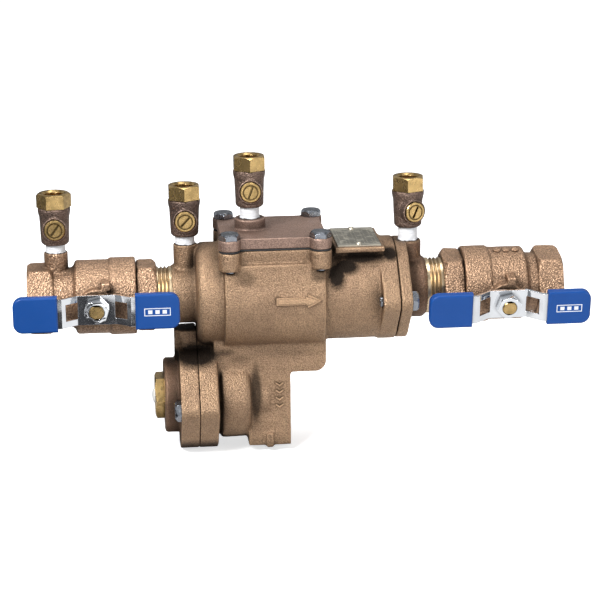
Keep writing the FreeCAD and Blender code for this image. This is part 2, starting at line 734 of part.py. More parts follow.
def relief_outside():
    flange = ear_flange("body_relief_flange", "relief_flange_r", "relief_bolt_y", "side_lug_r",
                        "relief_joint_x", "relief_flange_end", "relief_z")
    lug = centred_box("body_relief_lug", "relief_joint_x", "relief_flange_end",
                      "relief_lug_half", "relief_z + 20", -18)
    drum = turned("body_relief_drum", [
        ("relief_flange_end - 1", 0), ("relief_flange_end - 1", "relief_drum_r - 2.5"),
        ("relief_flange_end + 1.2", "relief_drum_r - 2.5"),
        ("relief_flange_end + 2.6", "relief_drum_r"),
        ("relief_drum_end - relief_drum_round", "relief_drum_r"),
        ("relief_drum_end - relief_drum_round * 0.4", "relief_drum_r - relief_drum_round * 0.15"),
        ("relief_drum_end - relief_drum_round * 0.1", "relief_drum_r - relief_drum_round * 0.5"),
        ("relief_drum_end", "relief_drum_r - relief_drum_round"),
        ("relief_drum_end", 0)], (0, 0, "relief_z"))
    seat_boss = cylinder("body_seat_boss", "seat_boss_r", "seat_boss_end - relief_drum_end + 2",
                         ("relief_drum_end - 2", 0, "relief_z"), TO_X)
    rise = centred_box("body_relief_rise", "relief_flange_end - 2", "vent_x + 4", "vent_half",
                       "relief_z + 10", -25)
    vent = centred_box("body_vent", "vent_x", "vent_end", "vent_half", "vent_bottom", -30)
    rib = centred_box("body_vent_rib", "vent_x + 10.5", "vent_x + 14.5", "vent_half + 1.6",
                      "vent_bottom - 1.2", "vent_bottom + 7.5")
    return [flange, lug, drum, seat_boss, rise, vent, rib]


def flow_arrow():
    """Raised arrow on the chest's front, pointing with the flow."""
    tail, neck, tip = "chest_x + 33", "chest_x + 47", "chest_x + 55.5"
    return padded("body_arrow", "XZ_Plane", [
        (tail, "arrow_z - arrow_half"), (neck, "arrow_z - arrow_half"),
        (neck, "arrow_z - arrow_head_half"), (tip, "arrow_z"),
        (neck, "arrow_z + arrow_head_half"), (neck, "arrow_z + arrow_half"),
        (tail, "arrow_z + arrow_half")], 5, (0, "5 - chest_r - arrow_rise", 0))


def body_inside():
    hollow = [
        cylinder("body_inlet_tapping", "pipe_thread_r + 0.05", "thread_engaged + 1",
                 ("body_start - 0.5", 0, 0), TO_X),
        cylinder("body_inlet_way", "inlet_way_r", 12, ("body_start + thread_engaged", 0, 0), TO_X),
        cylinder("body_seat1_bore", "check_seat_r + 0.1", 6, ("check1_x - 0.1", 0, 0), TO_X),
        cylinder("body_first_bore", "body_bore_r", "partition_x - check1_x - 3.4",
                 ("check1_x + 3.4", 0, 0), TO_X),
        centred_box("body_top_opening", "cover_x - cover_opening_x", "cover_x + cover_opening_x",
                    "cover_opening_y", 0, "cover_flange_top + 1"),
        cylinder("body_seat2_bore", "check_seat_r + 0.1", 8, ("partition_x - 0.5", 0, 0), TO_X),
        cylinder("body_second_bore", "housing_r - 4.2", 60, ("housing_x", 0, 0), TO_X),
        centred_box("body_cover_face", "chest_x - 1", "housing_x + 1", "chest_r",
                    "cover_flange_top", "cover_flange_top + 4"),
        cylinder("body_zone_port", "zone_port_r", "-vent_ceiling - 20",
                 ("chest_x + 5", 0, "vent_ceiling")),
        cylinder("body_cock_tapping", "cock_shank_r + 0.05", "cock_shank_depth + 1",
                 ("cock2_x", 0, "cock2_boss_z - cock_shank_depth")),
        cylinder("body_cock_way", "cock_way_r", "cock2_boss_z - 10", ("cock2_x", 0, 10)),
        cylinder("body_sensing_drop", "sensing_r", "-12 - sensing_z",
                 ("drum_x + 3", 0, "sensing_z")),
        cylinder("body_sensing_port", "sensing_r", 6, ("drum_x - 1", 0, "sensing_z"), TO_X),
    ]
    for n, (x, y) in enumerate(cover_bolt_places()):
        hollow.append(cylinder(f"body_bolt_hole{n}", "bolt_hole_r", 14,
                               (x, y, "cover_flange_low - 1.5")))
    for side in (-1, 1):
        hollow.append(cylinder(f"body_end_bolt_hole{side}", "bolt_hole_r",
                               "flange_end - flange_x + 3",
                               ("flange_x - 1", f"{side} * side_bolt_y", 0), TO_X))
        hollow.append(cylinder(f"body_relief_bolt_hole{side}", "bolt_hole_r", 14,
                               ("relief_joint_x - 1", f"{side} * relief_bolt_y", "relief_z"),
                               TO_X))
    return hollow


def relief_inside():
    z = "relief_z"
    return [
        cylinder("body_diaphragm_groove", "diaphragm_r + 0.2", "diaphragm_groove + 0.5",
                 ("relief_joint_x - 0.5", 0, z), TO_X),
        cylinder("body_diaphragm_room", "diaphragm_r - 4", 6, ("relief_joint_x", 0, z), TO_X),
        cylinder("body_relief_room", "relief_cavity_r", "relief_cavity_end - relief_joint_x",
                 ("relief_joint_x", 0, z), TO_X),
        cylinder("body_relief_seat_bore", "relief_seat_r + 0.1", 8,
                 ("relief_cavity_end - 1", 0, z), TO_X),
        centred_box("body_vent_way", "vent_x + 6.5", "vent_end - vent_wall",
                    "vent_half - vent_wall", "vent_bottom - 3", "vent_ceiling"),
    ]


def make_body():
    solid = fuse("body_solid", body_outside() + relief_outside() + [flow_arrow()])
    keep("main_body", cut("main_body_casting", solid, body_inside() + relief_inside()))


# ---------------------------------------------------------------- covers and fasteners

def make_top_cover():
    gasket_low = "cover_flange_top"
    cover_low = "(cover_flange_top + gasket_thickness)"
    cover_top = "(cover_flange_top + gasket_thickness + cover_thickness)"
    plate = lugged_plate("cover_plate", 0, cover_low, cover_top)
    boss = cylinder("cover_cock_boss", "cover_boss_r", "cover_boss_height + 1",
                    ("cover_boss_x", 0, f"{cover_top} - 1"))
    solid = fuse("cover_solid", [plate, boss])
    holes = [cylinder(f"cover_hole{n}", "bolt_hole_r", 12, (x, y, f"{cover_low} - 1"))
             for n, (x, y) in enumerate(cover_bolt_places())]
    holes.append(centred_box("cover_recess", "cover_x - cover_opening_x",
                             "cover_x + cover_opening_x", "cover_opening_y",
                             f"{cover_low} - 1", f"{cover_low} + 2"))
    holes.append(cylinder("cover_cock_tapping", "cock_shank_r + 0.05", 9,
                          ("cover_boss_x", 0, f"{cover_top} + cover_boss_height - 8")))
    holes.append(cylinder("cover_cock_way", "cock_way_r", 20, ("cover_boss_x", 0, cover_low)))
    keep("top_cover", cut("top_cover_casting", solid, holes))
    sheet = lugged_plate("gasket_plate", 0.35, gasket_low, cover_low)
    window = centred_box("gasket_window", "cover_x - cover_opening_x",
                         "cover_x + cover_opening_x", "cover_opening_y",
                         f"{gasket_low} - 1", f"{cover_low} + 1")
    gasket_holes = [cylinder(f"gasket_hole{n}", "bolt_hole_r", 4, (x, y, f"{gasket_low} - 1"))
                    for n, (x, y) in enumerate(cover_bolt_places())]
    keep("cover_gasket", cut("cover_gasket_sheet", sheet, [window] + gasket_holes))
    bolts = [hex_bolt(f"cover_bolt{n}", f"{cover_top} - cover_flange_low + 1.2",
                      (x, y, cover_top), UPRIGHT, 8 + 23 * n)
             for n, (x, y) in enumerate(cover_bolt_places())]
    keep("cover_bolts", group("cover_bolt_set", bolts))


def make_id_plate():
    low, top = "pad_top", "pad_top + plate_thickness"
    sheet = centred_box("plate_sheet", "plate_x - plate_half_x", "plate_x + plate_half_x",
                        "plate_half_y", low, top)
    places = [("plate_x", f"{side} * (plate_half_y - 3)") for side in (-1, 1)]
    holes = [cylinder(f"plate_hole{n}", 1.0, 4, (x, y, "pad_top - 1"))
             for n, (x, y) in enumerate(places)]
    keep("id_plate", cut("id_plate_sheet", sheet, holes))
    screws = []
    for n, (x, y) in enumerate(places):
        head = turned(f"plate_screw{n}", [
            (0, 0), (0, 0.95), (0.85, 0.95), (0.85, 2.0), (1.5, 1.7), (1.9, 1.0),
            (2.0, 0)], (x, y, "pad_top"), FreeCAD.Rotation(Y_AXIS, -90))
        screws.append(head)
    keep("id_plate_screws", group("id_plate_screw_pair", screws))


def make_outlet_cover():
    plate = ear_flange("outlet_plate", "outlet_flange_r - 0.4", "side_bolt_y", "side_lug_r",
                       "flange_end + 0.25", "outlet_cover_end", 0)
    hub = turned("outlet_hub", [
        ("spigot_start", 0), ("spigot_start", "housing_r - 5.1"),
        ("spigot_start + 0.8", "housing_r - 4.3"),
        ("flange_end + 1", "housing_r - 4.3"), ("flange_end + 1", "hub_r + 1.5"),
        ("outlet_cover_end", "hub_r + 1.5"), ("outlet_cover_end + 1.5", "hub_r"),
        ("hub_end - 2.6", "hub_r"), ("hub_end", "hub_r - 1.9"), ("hub_end", 0)])
    boss = cylinder("outlet_cock_boss", "cock_boss_r + 0.8", "cock4_boss_z", ("cock4_x", 0, 0))
    solid = fuse("outlet_solid", [plate, hub, boss])
    groove = tube("outlet_groove", "housing_r - 4", "oring_r - oring_wire",
                  "oring_x - oring_wire - 0.2", "oring_x + oring_wire + 0.2")
    hollow = [
        groove,
        cylinder("outlet_way", "outlet_way_r", 40, ("spigot_start - 1", 0, 0), TO_X),
        cylinder("outlet_tapping", "pipe_thread_r + 0.05", 14,
                 ("hub_end - thread_engaged - 0.3", 0, 0), TO_X),
        cylinder("outlet_cock_tapping", "cock_shank_r + 0.05", 9,
                 ("cock4_x", 0, "cock4_boss_z - cock_shank_depth")),
        cylinder("outlet_cock_way", "cock_way_r", "cock4_boss_z", ("cock4_x", 0, 0)),
        cylinder("outlet_cock_face", "cock_low_r + 1.2", 5, ("cock4_x", 0, "cock4_boss_z")),
    ]
    for side in (-1, 1):
        hollow.append(cylinder(f"outlet_bolt_hole{side}", "bolt_hole_r", 10,
                               ("flange_end - 1", f"{side} * side_bolt_y", 0), TO_X))
    keep("outlet_cover", cut("outlet_cover_casting", solid, hollow))
    keep("outlet_cover_oring", ring_wire("outlet_oring", "oring_r", "oring_wire",
                                         ("oring_x", 0, 0)))
    bolts = [hex_bolt(f"outlet_bolt{side}", "outlet_cover_end - flange_x + 1.4",
                      ("outlet_cover_end", f"{side} * side_bolt_y", 0), TO_X, 30 + 12 * side)
             for side in (-1, 1)]
    keep("outlet_cover_bolts", group("outlet_bolt_pair", bolts))


def make_relief_cover():
    z = "relief_z"
    plate = ear_flange("relief_plate", "relief_flange_r", "relief_bolt_y", "side_lug_r",
                       "relief_cover_start", "relief_joint_x - 0.2", z)
    lug = padded("relief_cover_lug", "XY_Plane", [
        ("relief_lug_start", "-relief_lug_half + 4"),
        ("relief_lug_start + 4", "-relief_lug_half"),
        ("relief_joint_x - 0.2", "-relief_lug_half"),
        ("relief_joint_x - 0.2", "relief_lug_half"),
        ("relief_lug_start + 4", "relief_lug_half"),
        ("relief_lug_start", "relief_lug_half - 4")],
        "relief_lug_top - relief_z - 10", (0, 0, "relief_z + 10"))
    hub = turned("relief_hub", [
        ("relief_hub_start", 0), ("relief_hub_start", "relief_hub_r - 1.2"),
        ("relief_hub_start + 1.2", "relief_hub_r"), ("relief_cover_start + 1", "relief_hub_r"),
        ("relief_cover_start + 1", 0)], (0, 0, z))
    solid = fuse("relief_cover_solid", [plate, lug, hub])
    hollow = [
        cylinder("relief_cover_room", "diaphragm_r - 4", 30,
                 ("relief_hub_start + plug_depth + web_thickness", 0, z), TO_X),
        cylinder("relief_plug_bore", "plug_thread_r + 0.05", "plug_depth + 1",
                 ("relief_hub_start - 1", 0, z), TO_X),
        cylinder("relief_web_hole", "relief_stem_r + 0.3", 30, ("relief_hub_start - 1", 0, z),
                 TO_X),
        cylinder("relief_sensing_in", "sensing_r", 8, ("relief_joint_x - 5", 0, "sensing_z"),
                 TO_X),
        cylinder("relief_sensing_drop", "sensing_r", "sensing_z - relief_z - 15",
                 ("relief_joint_x - 5", 0, "relief_z + 15")),
    ]
    for side in (-1, 1):
        hollow.append(cylinder(f"relief_bolt_hole{side}", "bolt_hole_r", 14,
                               ("relief_cover_start - 1", f"{side} * relief_bolt_y", z), TO_X))
    keep("relief_cover", cut("relief_cover_casting", solid, hollow))
    bolts = [hex_bolt(f"relief_bolt{side}", "relief_flange_end - relief_cover_start - 1",
                      ("relief_cover_start", f"{side} * relief_bolt_y", z),
                      FreeCAD.Rotation(Y_AXIS, -90), 30 + 9 * side) for side in (-1, 1)]
    keep("relief_cover_bolts", group("relief_bolt_pair", bolts))


# ---------------------------------------------------------------- relief valve works

def make_relief_works():
    z = "relief_z"
    plug_hex = hexagon("plug_hex", "plug_flats", "relief_hub_start - plug_end",
                       ("plug_end", 0, z), TO_X, 30)
    plug_face = turned("plug_face", [
        ("plug_end", 0), ("plug_end", "plug_flats / 2 - 0.2"),
        ("plug_end + 1.1", "plug_flats / 2 + 2"), ("relief_hub_start", "plug_flats / 2 + 2"),
        ("relief_hub_start", 0)], (0, 0, z))
    plug_head = common("plug_head", plug_hex, plug_face)
    spigot = cylinder("plug_spigot", "plug_thread_r", 9, ("relief_hub_start - 1", 0, z), TO_X)
    guide_hole = cylinder("plug_guide_hole", "relief_stem_r + 0.08", 20,
                          ("plug_end + 4.6", 0, z), TO_X)
    cap_hole = cylinder("plug_cap_hole", "plug_cap_r", 3, ("plug_end - 1", 0, z), TO_X)
    plug_solid = fuse("plug_solid", [plug_head, spigot])
    keep("relief_plug", cut("relief_plug_turning", plug_solid, [guide_hole, cap_hole]))
    keep("relief_plug_cap", turned("relief_cap", [
        ("plug_end + 2", 0), ("plug_end + 2", "plug_cap_r"), ("plug_end - 0.1", "plug_cap_r"),
        ("plug_end - 0.8", "plug_cap_r - 0.5"), ("plug_end - 1.3", "plug_cap_r - 1.6"),
        ("plug_end - 1.6", "plug_cap_r - 3"), ("plug_end - 1.7", 0)], (0, 0, z)))

    face = "(relief_joint_x + 0.1)"
    keep("relief_diaphragm", turned("relief_membrane", [
        (face, "relief_stem_r + 0.05"), (f"{face} + 1.5", "relief_stem_r + 0.05"),
        (f"{face} + 1.5", "diaphragm_r - 4.4"), (f"{face} + 1.9", "diaphragm_r - 3.6"),
        (f"{face} + 1.9", "diaphragm_r"), (face, "diaphragm_r")], (0, 0, z)))
    keep("relief_piston", turned("relief_button", [
        (f"{face} + 1.55", "relief_stem_r + 0.05"), (f"{face} + 4.2", "relief_stem_r + 0.05"),
        (f"{face} + 4.2", 13.6), (f"{face} + 2.2", 15.2), (f"{face} + 1.55", 15.2)], (0, 0, z)))
    lip = "(relief_cavity_end + 1.6)"
    disc_face = f"({lip} - 0.1 - relief_stroke)"
    keep("relief_stem", turned("relief_spindle", [
        ("relief_hub_start + 2", 0), ("relief_hub_start + 2", "relief_stem_r"),
        (f"{face} - 3.6", "relief_stem_r"), (f"{face} - 3.6", 9), (f"{face} - 0.05", 9),
        (f"{face} - 0.05", "relief_stem_r"), (f"{disc_face} - 5", "relief_stem_r"),
        (f"{disc_face} - 5", 10), (f"{disc_face} - 2.5", 10), (f"{disc_face} - 2.5", 2),
        (f"{disc_face} + 1.4", 2), (f"{disc_face} + 1.4", 0)], (0, 0, z)))
    keep("relief_disc", tube("relief_rubber", "relief_disc_r", 2.02, f"{disc_face} - 2.5",
                             disc_face, (0, 0, z)))
    keep("relief_seat", turned("relief_seat_ring", [
        (f"{lip} + 5.4", "relief_seat_bore_r"), (f"{lip}", "relief_seat_bore_r"),
        (lip, "relief_seat_bore_r + 0.9"), (f"{lip} + 0.8", "relief_seat_bore_r + 1.2"),
        (f"{lip} + 0.8", "relief_seat_r"), (f"{lip} + 2.2", "relief_seat_r"),
        (f"{lip} + 2.2", "relief_seat_r - 1.6"), (f"{lip} + 4.2", "relief_seat_r - 1.6"),
        (f"{lip} + 4.2", "relief_seat_r"), (f"{lip} + 5.4", "relief_seat_r")], (0, 0, z)))
    keep("relief_seat_oring", ring_wire("relief_oring", "relief_seat_r - 0.76", 0.8,
                                        (f"{lip} + 3.2", 0, z)))
    keep("relief_spring", coil("relief_coil", "relief_spring_r", "relief_spring_wire", f"{face} + 4.4",
                               "relief_cavity_end - 0.3", 5, (0, 0, z)))


# ---------------------------------------------------------------- check valves

def make_check(name, seat_x, guide_x, spring_wire):
    """One spring-loaded poppet check that opens towards +X."""
    lip = f"({seat_x} + 5.2)"
    disc = f"({lip} + 0.12)"
    keep(f"{name}_seat", turned(f"{name}_seat_ring", [
        (seat_x, "check_seat_bore_r"), (lip, "check_seat_bore_r"), (lip, "check_lip_r - 0.7"),
        (f"{lip} - 0.8", "check_lip_r"), (f"{lip} - 0.8", "check_seat_r - 1.5"),
        (f"{lip} - 1.8", "check_seat_r"), (f"{seat_x} + 3", "check_seat_r"),
        (f"{seat_x} + 3", "check_seat_r - 1.7"), (f"{seat_x} + 0.9", "check_seat_r - 1.7"),
        (f"{seat_x} + 0.9", "check_seat_r"), (seat_x, "check_seat_r")]))
    keep(f"{name}_seat_oring", ring_wire(f"{name}_oring", "check_seat_r - 0.8", 0.88,
                                         (f"{seat_x} + 1.95", 0, 0)))
    keep(f"{name}_disc", tube(f"{name}_rubber", "check_disc_r", 3.02, disc, f"{disc} + 3"))
    keep(f"{name}_poppet", turned(f"{name}_poppet_turning", [
        (f"{disc} - 1.2", 0), (f"{disc} - 1.2", 6), (f"{disc} - 0.05", 6.5),
        (f"{disc} - 0.05", 3), (f"{disc} + 3.02", 3), (f"{disc} + 3.02", "poppet_r"),
        (f"{disc} + 5.6", "poppet_r"), (f"{disc} + 6.4", "poppet_r - 1"),
        (f"{disc} + 6.4", "check_stem_r"), (f"{guide_x} + 9", "check_stem_r"),
        (f"{guide_x} + 10", "check_stem_r - 1"), (f"{guide_x} + 10", 0)]))
    keep(f"{name}_spring", coil(f"{name}_coil", "check_spring_r", spring_wire,
                                f"{disc} + 6.5", f"{guide_x} - 0.1", "check_spring_turns"))
    plate = turned(f"{name}_guide_turning", [
        (guide_x, "check_stem_r + 0.08"), (f"{guide_x} + 8", "check_stem_r + 0.08"),
        (f"{guide_x} + 8", "guide_hub_r - 1"), (f"{guide_x} + 3", "guide_hub_r"),
        (f"{guide_x} + 3", "housing_r - 4.4"), (guide_x, "housing_r - 4.4")])
    holes = []
    for n in range(6):
        angle = n * 60
        holes.append(cylinder(f"{name}_guide_hole{n}", "guide_hole_r", 6,
                              (f"{guide_x} - 1", f"guide_hole_ring_r * cos({angle} deg)",
                               f"guide_hole_ring_r * sin({angle} deg)"), TO_X))
    keep(f"{name}_guide", cut(f"{name}_guide_plate", plate, holes))


# ---------------------------------------------------------------- test cocks

COCKS = [
    # x, boss top, lift on its thread, turn about Z, slot angle, outlet hex turn
    ("cock1_x", "cock1_boss_z", "0", 0, 53, 5),
    ("cock2_x", "cock2_boss_z", "0", 0, 47, 30),
    ("cover_boss_x",
     "cover_flange_top + gasket_thickness + cover_thickness + cover_boss_height",
     "cock3_lift", 0, 70, 30),
    ("cock4_x", "cock4_boss_z", "cock4_lift", 17, 65, 22),
]


def cock_body(label):
    shell = turned(label + "_shell", [
        ("-cock_shank_depth + 0.4", 0), ("-cock_shank_depth + 0.4", "cock_shank_r - 0.3"),
        ("cock_tape_top", "cock_shank_r"), ("cock_tape_top", "cock_low_r - 1.2"),
        ("cock_tape_top + 1.3", "cock_low_r"), ("cock_body_top - 1", "cock_body_r"),
        ("cock_body_top", "cock_collar_r - 0.4"), ("cock_body_top + 2.2", "cock_collar_r"),
        ("cock_collar_top - 0.5", "cock_collar_r"), ("cock_collar_top", "cock_collar_r - 0.5"),
        ("cock_collar_top", 0)], (0, 0, 0), FreeCAD.Rotation(Y_AXIS, -90))
    boss = cylinder(label + "_boss", "cock_screw_r + 1.2", "cock_front_y", (0, 0, "cock_ball_z"),
                    TO_FRONT)
    solid = fuse(label + "_solid", [shell, boss])
    hollow = [
        cylinder(label + "_cavity", "cock_cavity_r", 25, (0, 0, "cock_ball_z - 5.8")),
        cylinder(label + "_way", "cock_port_r", 30, (0, 0, -10)),
        cylinder(label + "_stem_bore", "cock_stem_r + 0.08", 15, (0, 0, "cock_ball_z"), TO_FRONT),
        cylinder(label + "_screw_recess", "cock_screw_r + 0.08", 4,
                 (0, "-cock_front_y + 1.6", "cock_ball_z"), TO_FRONT),
    ]
    return cut(label, solid, hollow)


def cock_seats(label):
    """Two PTFE rings above and below the small ball."""
    rings = []
    for side, low, high in (("low", -5.7, -3.1), ("high", 3.1, 5.7)):
        ring = tube(f"{label}_{side}_ring", "cock_cavity_r - 0.1", "cock_port_r", low, high,
                    (0, 0, "cock_ball_z"), FreeCAD.Rotation(Y_AXIS, -90))
        hollow = ball(f"{label}_{side}_hollow", "cock_ball_r + 0.15", (0, 0, "cock_ball_z"))
        rings.append(cut(f"{label}_{side}", ring, [hollow]))
    return group(label, rings)


def cock_cap(label, spin):
    hexed = hexagon(label + "_hex", "cock_cap_flats", "cock_top - cock_collar_top",
                    (0, 0, "cock_collar_top"), UPRIGHT, spin)
    crown = turned(label + "_crown", [
        ("cock_collar_top", 0), ("cock_collar_top", 12), ("cock_top - 1.6", 10.7),
        ("cock_top - 0.5", 9.4), ("cock_top", 8.6), ("cock_top", 0)],
        (0, 0, 0), FreeCAD.Rotation(Y_AXIS, -90))
    head = common(label + "_head", hexed, crown)
    spigot = cylinder(label + "_spigot", "cock_cavity_r - 0.08",
                      "cock_collar_top - cock_ball_z - 5.8 + 1", (0, 0, "cock_ball_z + 5.8"))
    solid = fuse(label + "_solid", [head, spigot])
    hollow = [
        cylinder(label + "_way", "cock_port_r", 40, (0, 0, 0)),
        cylinder(label + "_tapping", "cock_outlet_r", 12, (0, 0, "cock_top - cock_outlet_depth")),
        turned(label + "_mouth", [
            ("cock_top - 1.2", 0), ("cock_top - 1.2", "cock_outlet_r - 0.1"),
            ("cock_top + 0.1", "cock_outlet_r + 1.2"), ("cock_top + 0.1", 0)],
            (0, 0, 0), FreeCAD.Rotation(Y_AXIS, -90)),
    ]
    return cut(label, solid, hollow)


def cock_stem(label):
    """Slotted screw stem and its small ball, lying in the front-to-back direction."""
    sphere = ball(label + "_sphere", "cock_ball_r")
    bore = cylinder(label + "_bore", "cock_port_r", 14, (-7, 0, 0), TO_X)
    groove = box(label + "_groove", (12, 3, 2.4), (-6, "-cock_ball_r - 1.4", -1.2))
    small_ball = cut(label + "_ball", sphere, [bore, groove])
    shaft = cylinder(label + "_shaft", "cock_stem_r", "cock_front_y - 5.6",
                     (0, "-5.5", 0), TO_FRONT)
    head = turned(label + "_head", [
        ("cock_front_y - 1.55", 0), ("cock_front_y - 1.55", "cock_screw_r"),
        ("cock_front_y + 0.6", "cock_screw_r"), ("cock_front_y + 1.0", "cock_screw_r - 0.4"),
        ("cock_front_y + 1.0", "cock_screw_r - 1.3"), ("cock_front_y + 0.4", "cock_screw_r - 1.6"),
        ("cock_front_y + 0.4", "cock_screw_r - 1.9"), ("cock_front_y + 1.2", "cock_screw_r - 2.2"),
        ("cock_front_y + 1.2", 0)], (0, 0, 0), FreeCAD.Rotation(Z_AXIS, -90))
    tang_block = box(label + "_tang", (6, 2, 2.2), (-3, "-5.6", -1.1))
    tang_round = cylinder(label + "_tang_round", "cock_stem_r", 4, (0, "-3.7", 0), TO_FRONT)
    tang = common(label + "_tang_end", tang_block, tang_round)
    solid = fuse(label + "_solid", [shaft, head, tang])
    slot = box(label + "_slot", (7.2, 2, 1.3), (-3.6, "-cock_front_y - 1.5", -0.65))
    return group(label, [cut(label + "_screw", solid, [slot]), small_ball])


def make_test_cocks():
    bodies, caps, seats, tapes = [], [], [], []
    for n, (x, boss_top, lift, turn, slot, hex_turn) in enumerate(COCKS, start=1):
        z = f"{boss_top} + {lift}"
        at = (x, 0, z)
        about = FreeCAD.Rotation(Z_AXIS, turn)
        bodies.append(moved(f"cock{n}_body_placed", cock_body(f"cock{n}_body"), at, about))
        seats.append(moved(f"cock{n}_seats_placed", cock_seats(f"cock{n}_seats"), at, about))
        caps.append(moved(f"cock{n}_cap_placed", cock_cap(f"cock{n}_cap", hex_turn), at, UPRIGHT))
        tape = tube(f"cock{n}_tape", "cock_shank_r + 1.1", "cock_shank_r + 0.02",
                    f"0.05 - {lift}", "cock_tape_top - 0.1", (0, 0, 0),
                    FreeCAD.Rotation(Y_AXIS, -90))
        tapes.append(moved(f"cock{n}_tape_placed", tape, at, UPRIGHT))
        stem = cock_stem(f"cock{n}_stem")
        swing = about.multiply(FreeCAD.Rotation(Y_AXIS, -slot))
        keep(f"test_cock_{n}_stem", moved(f"cock{n}_stem_placed", stem,
                                          (x, 0, f"{z} + cock_ball_z"), swing))
    keep("test_cock_bodies", group("cock_body_set", bodies))
    keep("test_cock_seats", group("cock_seat_set", seats))
    keep("test_cock_caps", group("cock_cap_set", caps))
    keep("thread_tape", group("cock_tape_set", tapes))


# ---------------------------------------------------------------- assembly

def make_all():
    make_valve("inlet", True, UPRIGHT)
    roll = FreeCAD.Rotation(X_AXIS, DIMENSIONS["outlet_roll"])
    make_valve("outlet", False, roll.multiply(FreeCAD.Rotation(Y_AXIS, 180)))
    inlet_cap_end = "(inlet_ball_x + cap_end)"
    outlet_cap_end = "(outlet_ball_x - cap_end)"
    keep("inlet_nipple", threaded_nipple(
        "inlet_nipple_turning", f"{inlet_cap_end} - thread_engaged",
        "body_start + thread_engaged", inlet_cap_end, "body_start", 3))
    keep("outlet_nipple", threaded_nipple(
        "outlet_nipple_turning", "hub_end - thread_engaged",
        f"{outlet_cap_end} + thread_engaged", "hub_end", outlet_cap_end, 3))
    make_body()
    make_top_cover()
    make_id_plate()
    make_outlet_cover()
    make_relief_cover()
    make_relief_works()
    make_check("check1", "check1_x", "check1_guide_x", "check1_spring_wire")
    make_check("check2", "check2_x", "check2_guide_x", "check2_spring_wire")
    make_test_cocks()


def check_document():
    """Stop if any object failed or any kept piece is empty or broken."""
    for thing in doc.Objects:
        if {"Invalid", "Error"} & set(thing.State):
            raise RuntimeError(f"{thing.Name} failed: {thing.State}")
    for name, thing in parts.items():
        shape = thing.Shape
        if shape.isNull() or not shape.isValid() or not shape.Solids:
            raise RuntimeError(f"{name} has no valid solid")


make_all()
doc.recompute()
check_document()
os.makedirs("parts", exist_ok=True)
for name, thing in parts.items():
    thing.Shape.exportStep(f"parts/{name}.step")
print(len(parts), "parts written")
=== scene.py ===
"""Looks of the backflow preventer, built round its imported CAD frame."""

import json
import math

import bmesh
import bpy
from mathutils import Matrix, Vector, noise


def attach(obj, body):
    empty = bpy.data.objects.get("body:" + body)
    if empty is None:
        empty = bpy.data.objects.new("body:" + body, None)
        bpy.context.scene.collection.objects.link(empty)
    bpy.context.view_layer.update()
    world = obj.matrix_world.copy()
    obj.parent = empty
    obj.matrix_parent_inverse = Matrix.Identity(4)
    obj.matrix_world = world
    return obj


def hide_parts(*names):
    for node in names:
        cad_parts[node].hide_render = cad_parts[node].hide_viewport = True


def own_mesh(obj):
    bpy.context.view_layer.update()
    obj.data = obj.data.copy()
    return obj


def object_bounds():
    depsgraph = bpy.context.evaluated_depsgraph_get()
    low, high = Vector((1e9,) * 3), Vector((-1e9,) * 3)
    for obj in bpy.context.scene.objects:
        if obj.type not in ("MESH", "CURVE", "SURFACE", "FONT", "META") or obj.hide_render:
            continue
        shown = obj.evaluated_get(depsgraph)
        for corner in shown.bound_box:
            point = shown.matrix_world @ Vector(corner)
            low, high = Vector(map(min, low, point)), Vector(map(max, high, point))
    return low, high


MM = 0.001
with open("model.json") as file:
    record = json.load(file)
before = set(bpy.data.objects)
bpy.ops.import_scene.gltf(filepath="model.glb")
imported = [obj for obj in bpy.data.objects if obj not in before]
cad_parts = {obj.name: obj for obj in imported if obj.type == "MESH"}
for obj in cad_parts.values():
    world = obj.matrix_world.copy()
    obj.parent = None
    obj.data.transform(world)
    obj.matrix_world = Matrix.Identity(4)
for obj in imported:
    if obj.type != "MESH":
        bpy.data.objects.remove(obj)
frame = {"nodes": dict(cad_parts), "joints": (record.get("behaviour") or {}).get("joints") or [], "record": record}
cad_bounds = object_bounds()


# ---------------------------------------------------------------- materials

def times(colour, factor):
    """A colour made darker or lighter."""
    return tuple(min(1, c * factor) for c in colour)


